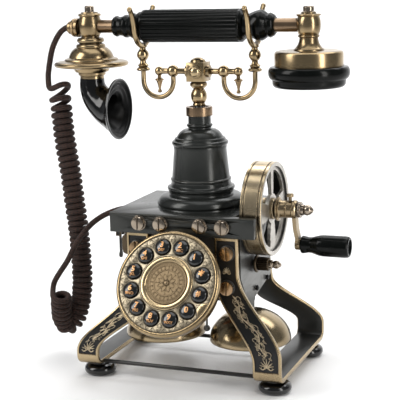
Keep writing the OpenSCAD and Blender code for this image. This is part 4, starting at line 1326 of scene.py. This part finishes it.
SLEEVE_PROFILE = (
    (0, 39.6), (3.5, 39.6), (3.5, 70.2), (9.6, 70.2), (10.6, 70.9), (10.6, 71.9), (9.4, 72.6), (8.4, 72.9),
    (8, 73.8), (7.6, 74.6), (7.6, 79), (7.9, 79.3), (7.9, 79.8), (7.6, 80.1), (7.6, 84.2), (8.2, 84.8),
    (8.2, 87.4), (7.4, 88.4), (3.5, 88.4), (3.5, 96), (0, 96))
SET_SCREW_X = 82.0
SET_SCREW_PROFILE = (
    (0, 153.5), (1.5, 153.5), (1.5, 158.2), (3.1, 158.4), (3.1, 160.6), (2.4, 161.4), (0, 161.4))
PIN_PROFILE = ((0, 86.6), (4.6, 86.6), (5, 87.2), (5, 91), (4.4, 91.6), (2.5, 91.8), (2.5, 129.6), (0, 129.6))
# Middle line of the crank's arm: x, and distance below the shaft.
ARM_LINE = ((86.2, 3), (86.4, 10), (87.2, 18), (88.6, 25), (89, CRANK_R + 3.6))


def add_crank():
    """Shaft, stepped sleeve, set screw, slim bent arm and the pin of the handle."""
    bm = bmesh.new()
    turn(bm, SLEEVE_PROFILE, sideways(0, SHAFT_Z), 64)
    turn(bm, SET_SCREW_PROFILE, upright(SET_SCREW_X), 24)
    turn(bm, PIN_PROFILE, sideways(0, SHAFT_Z - CRANK_R), 40)
    stations = spline([at(x, 0, SHAFT_Z - drop) for x, drop in ARM_LINE], 6)
    last = len(stations) - 1
    bar(bm, stations, [(4.6 - 0.9 * i / last, 1.7) for i in range(last + 1)])
    soften(finish_node("crank_arm", bm, "crank", "crank_brass"), 0.35, 35.0)


# ---- build ----

add_camera()
add_lights()
dress_cad_nodes()
add_cord()
for leg_name in LEG_EDGES:
    add_leg(leg_name)
    add_leg_relief(leg_name)
add_dial_scrollwork()
add_medallion()
for key_index, key_name in enumerate(BUTTON_ORDER):
    add_key_signs(key_index, key_name)
add_forks()
add_horn()
for row in TURNED:
    add_turned(*row)
add_volume_knob()
add_plate_rivets()
add_hub_bosses()
add_flywheel_rim()
add_flywheel_web()
add_crank()


def add_stage():
    """Pale floor that curves up behind the object."""
    bm = bmesh.new()
    rows = []
    for y, z in ((-1.6, 0), (0.9, 0), (1.15, 0.04), (1.4, 0.16), (1.6, 0.36), (1.7, 0.7), (1.72, 2.2)):
        rows.append([bm.verts.new((x, y, z - 0.0002)) for x in (-2.6, 2.6)])
    for lower, upper in zip(rows, rows[1:]):
        bm.faces.new((lower[0], lower[1], upper[1], upper[0]))
    floor = make_piece("studio_floor", bm, None, "pale_floor")
    bend = floor.modifiers.new("smooth_bend", "SUBSURF")
    bend.levels = 2
    bend.render_levels = 3
    bend.subdivision_type = "SIMPLE"


add_stage()

bpy.context.scene.view_settings.view_transform = "Standard"
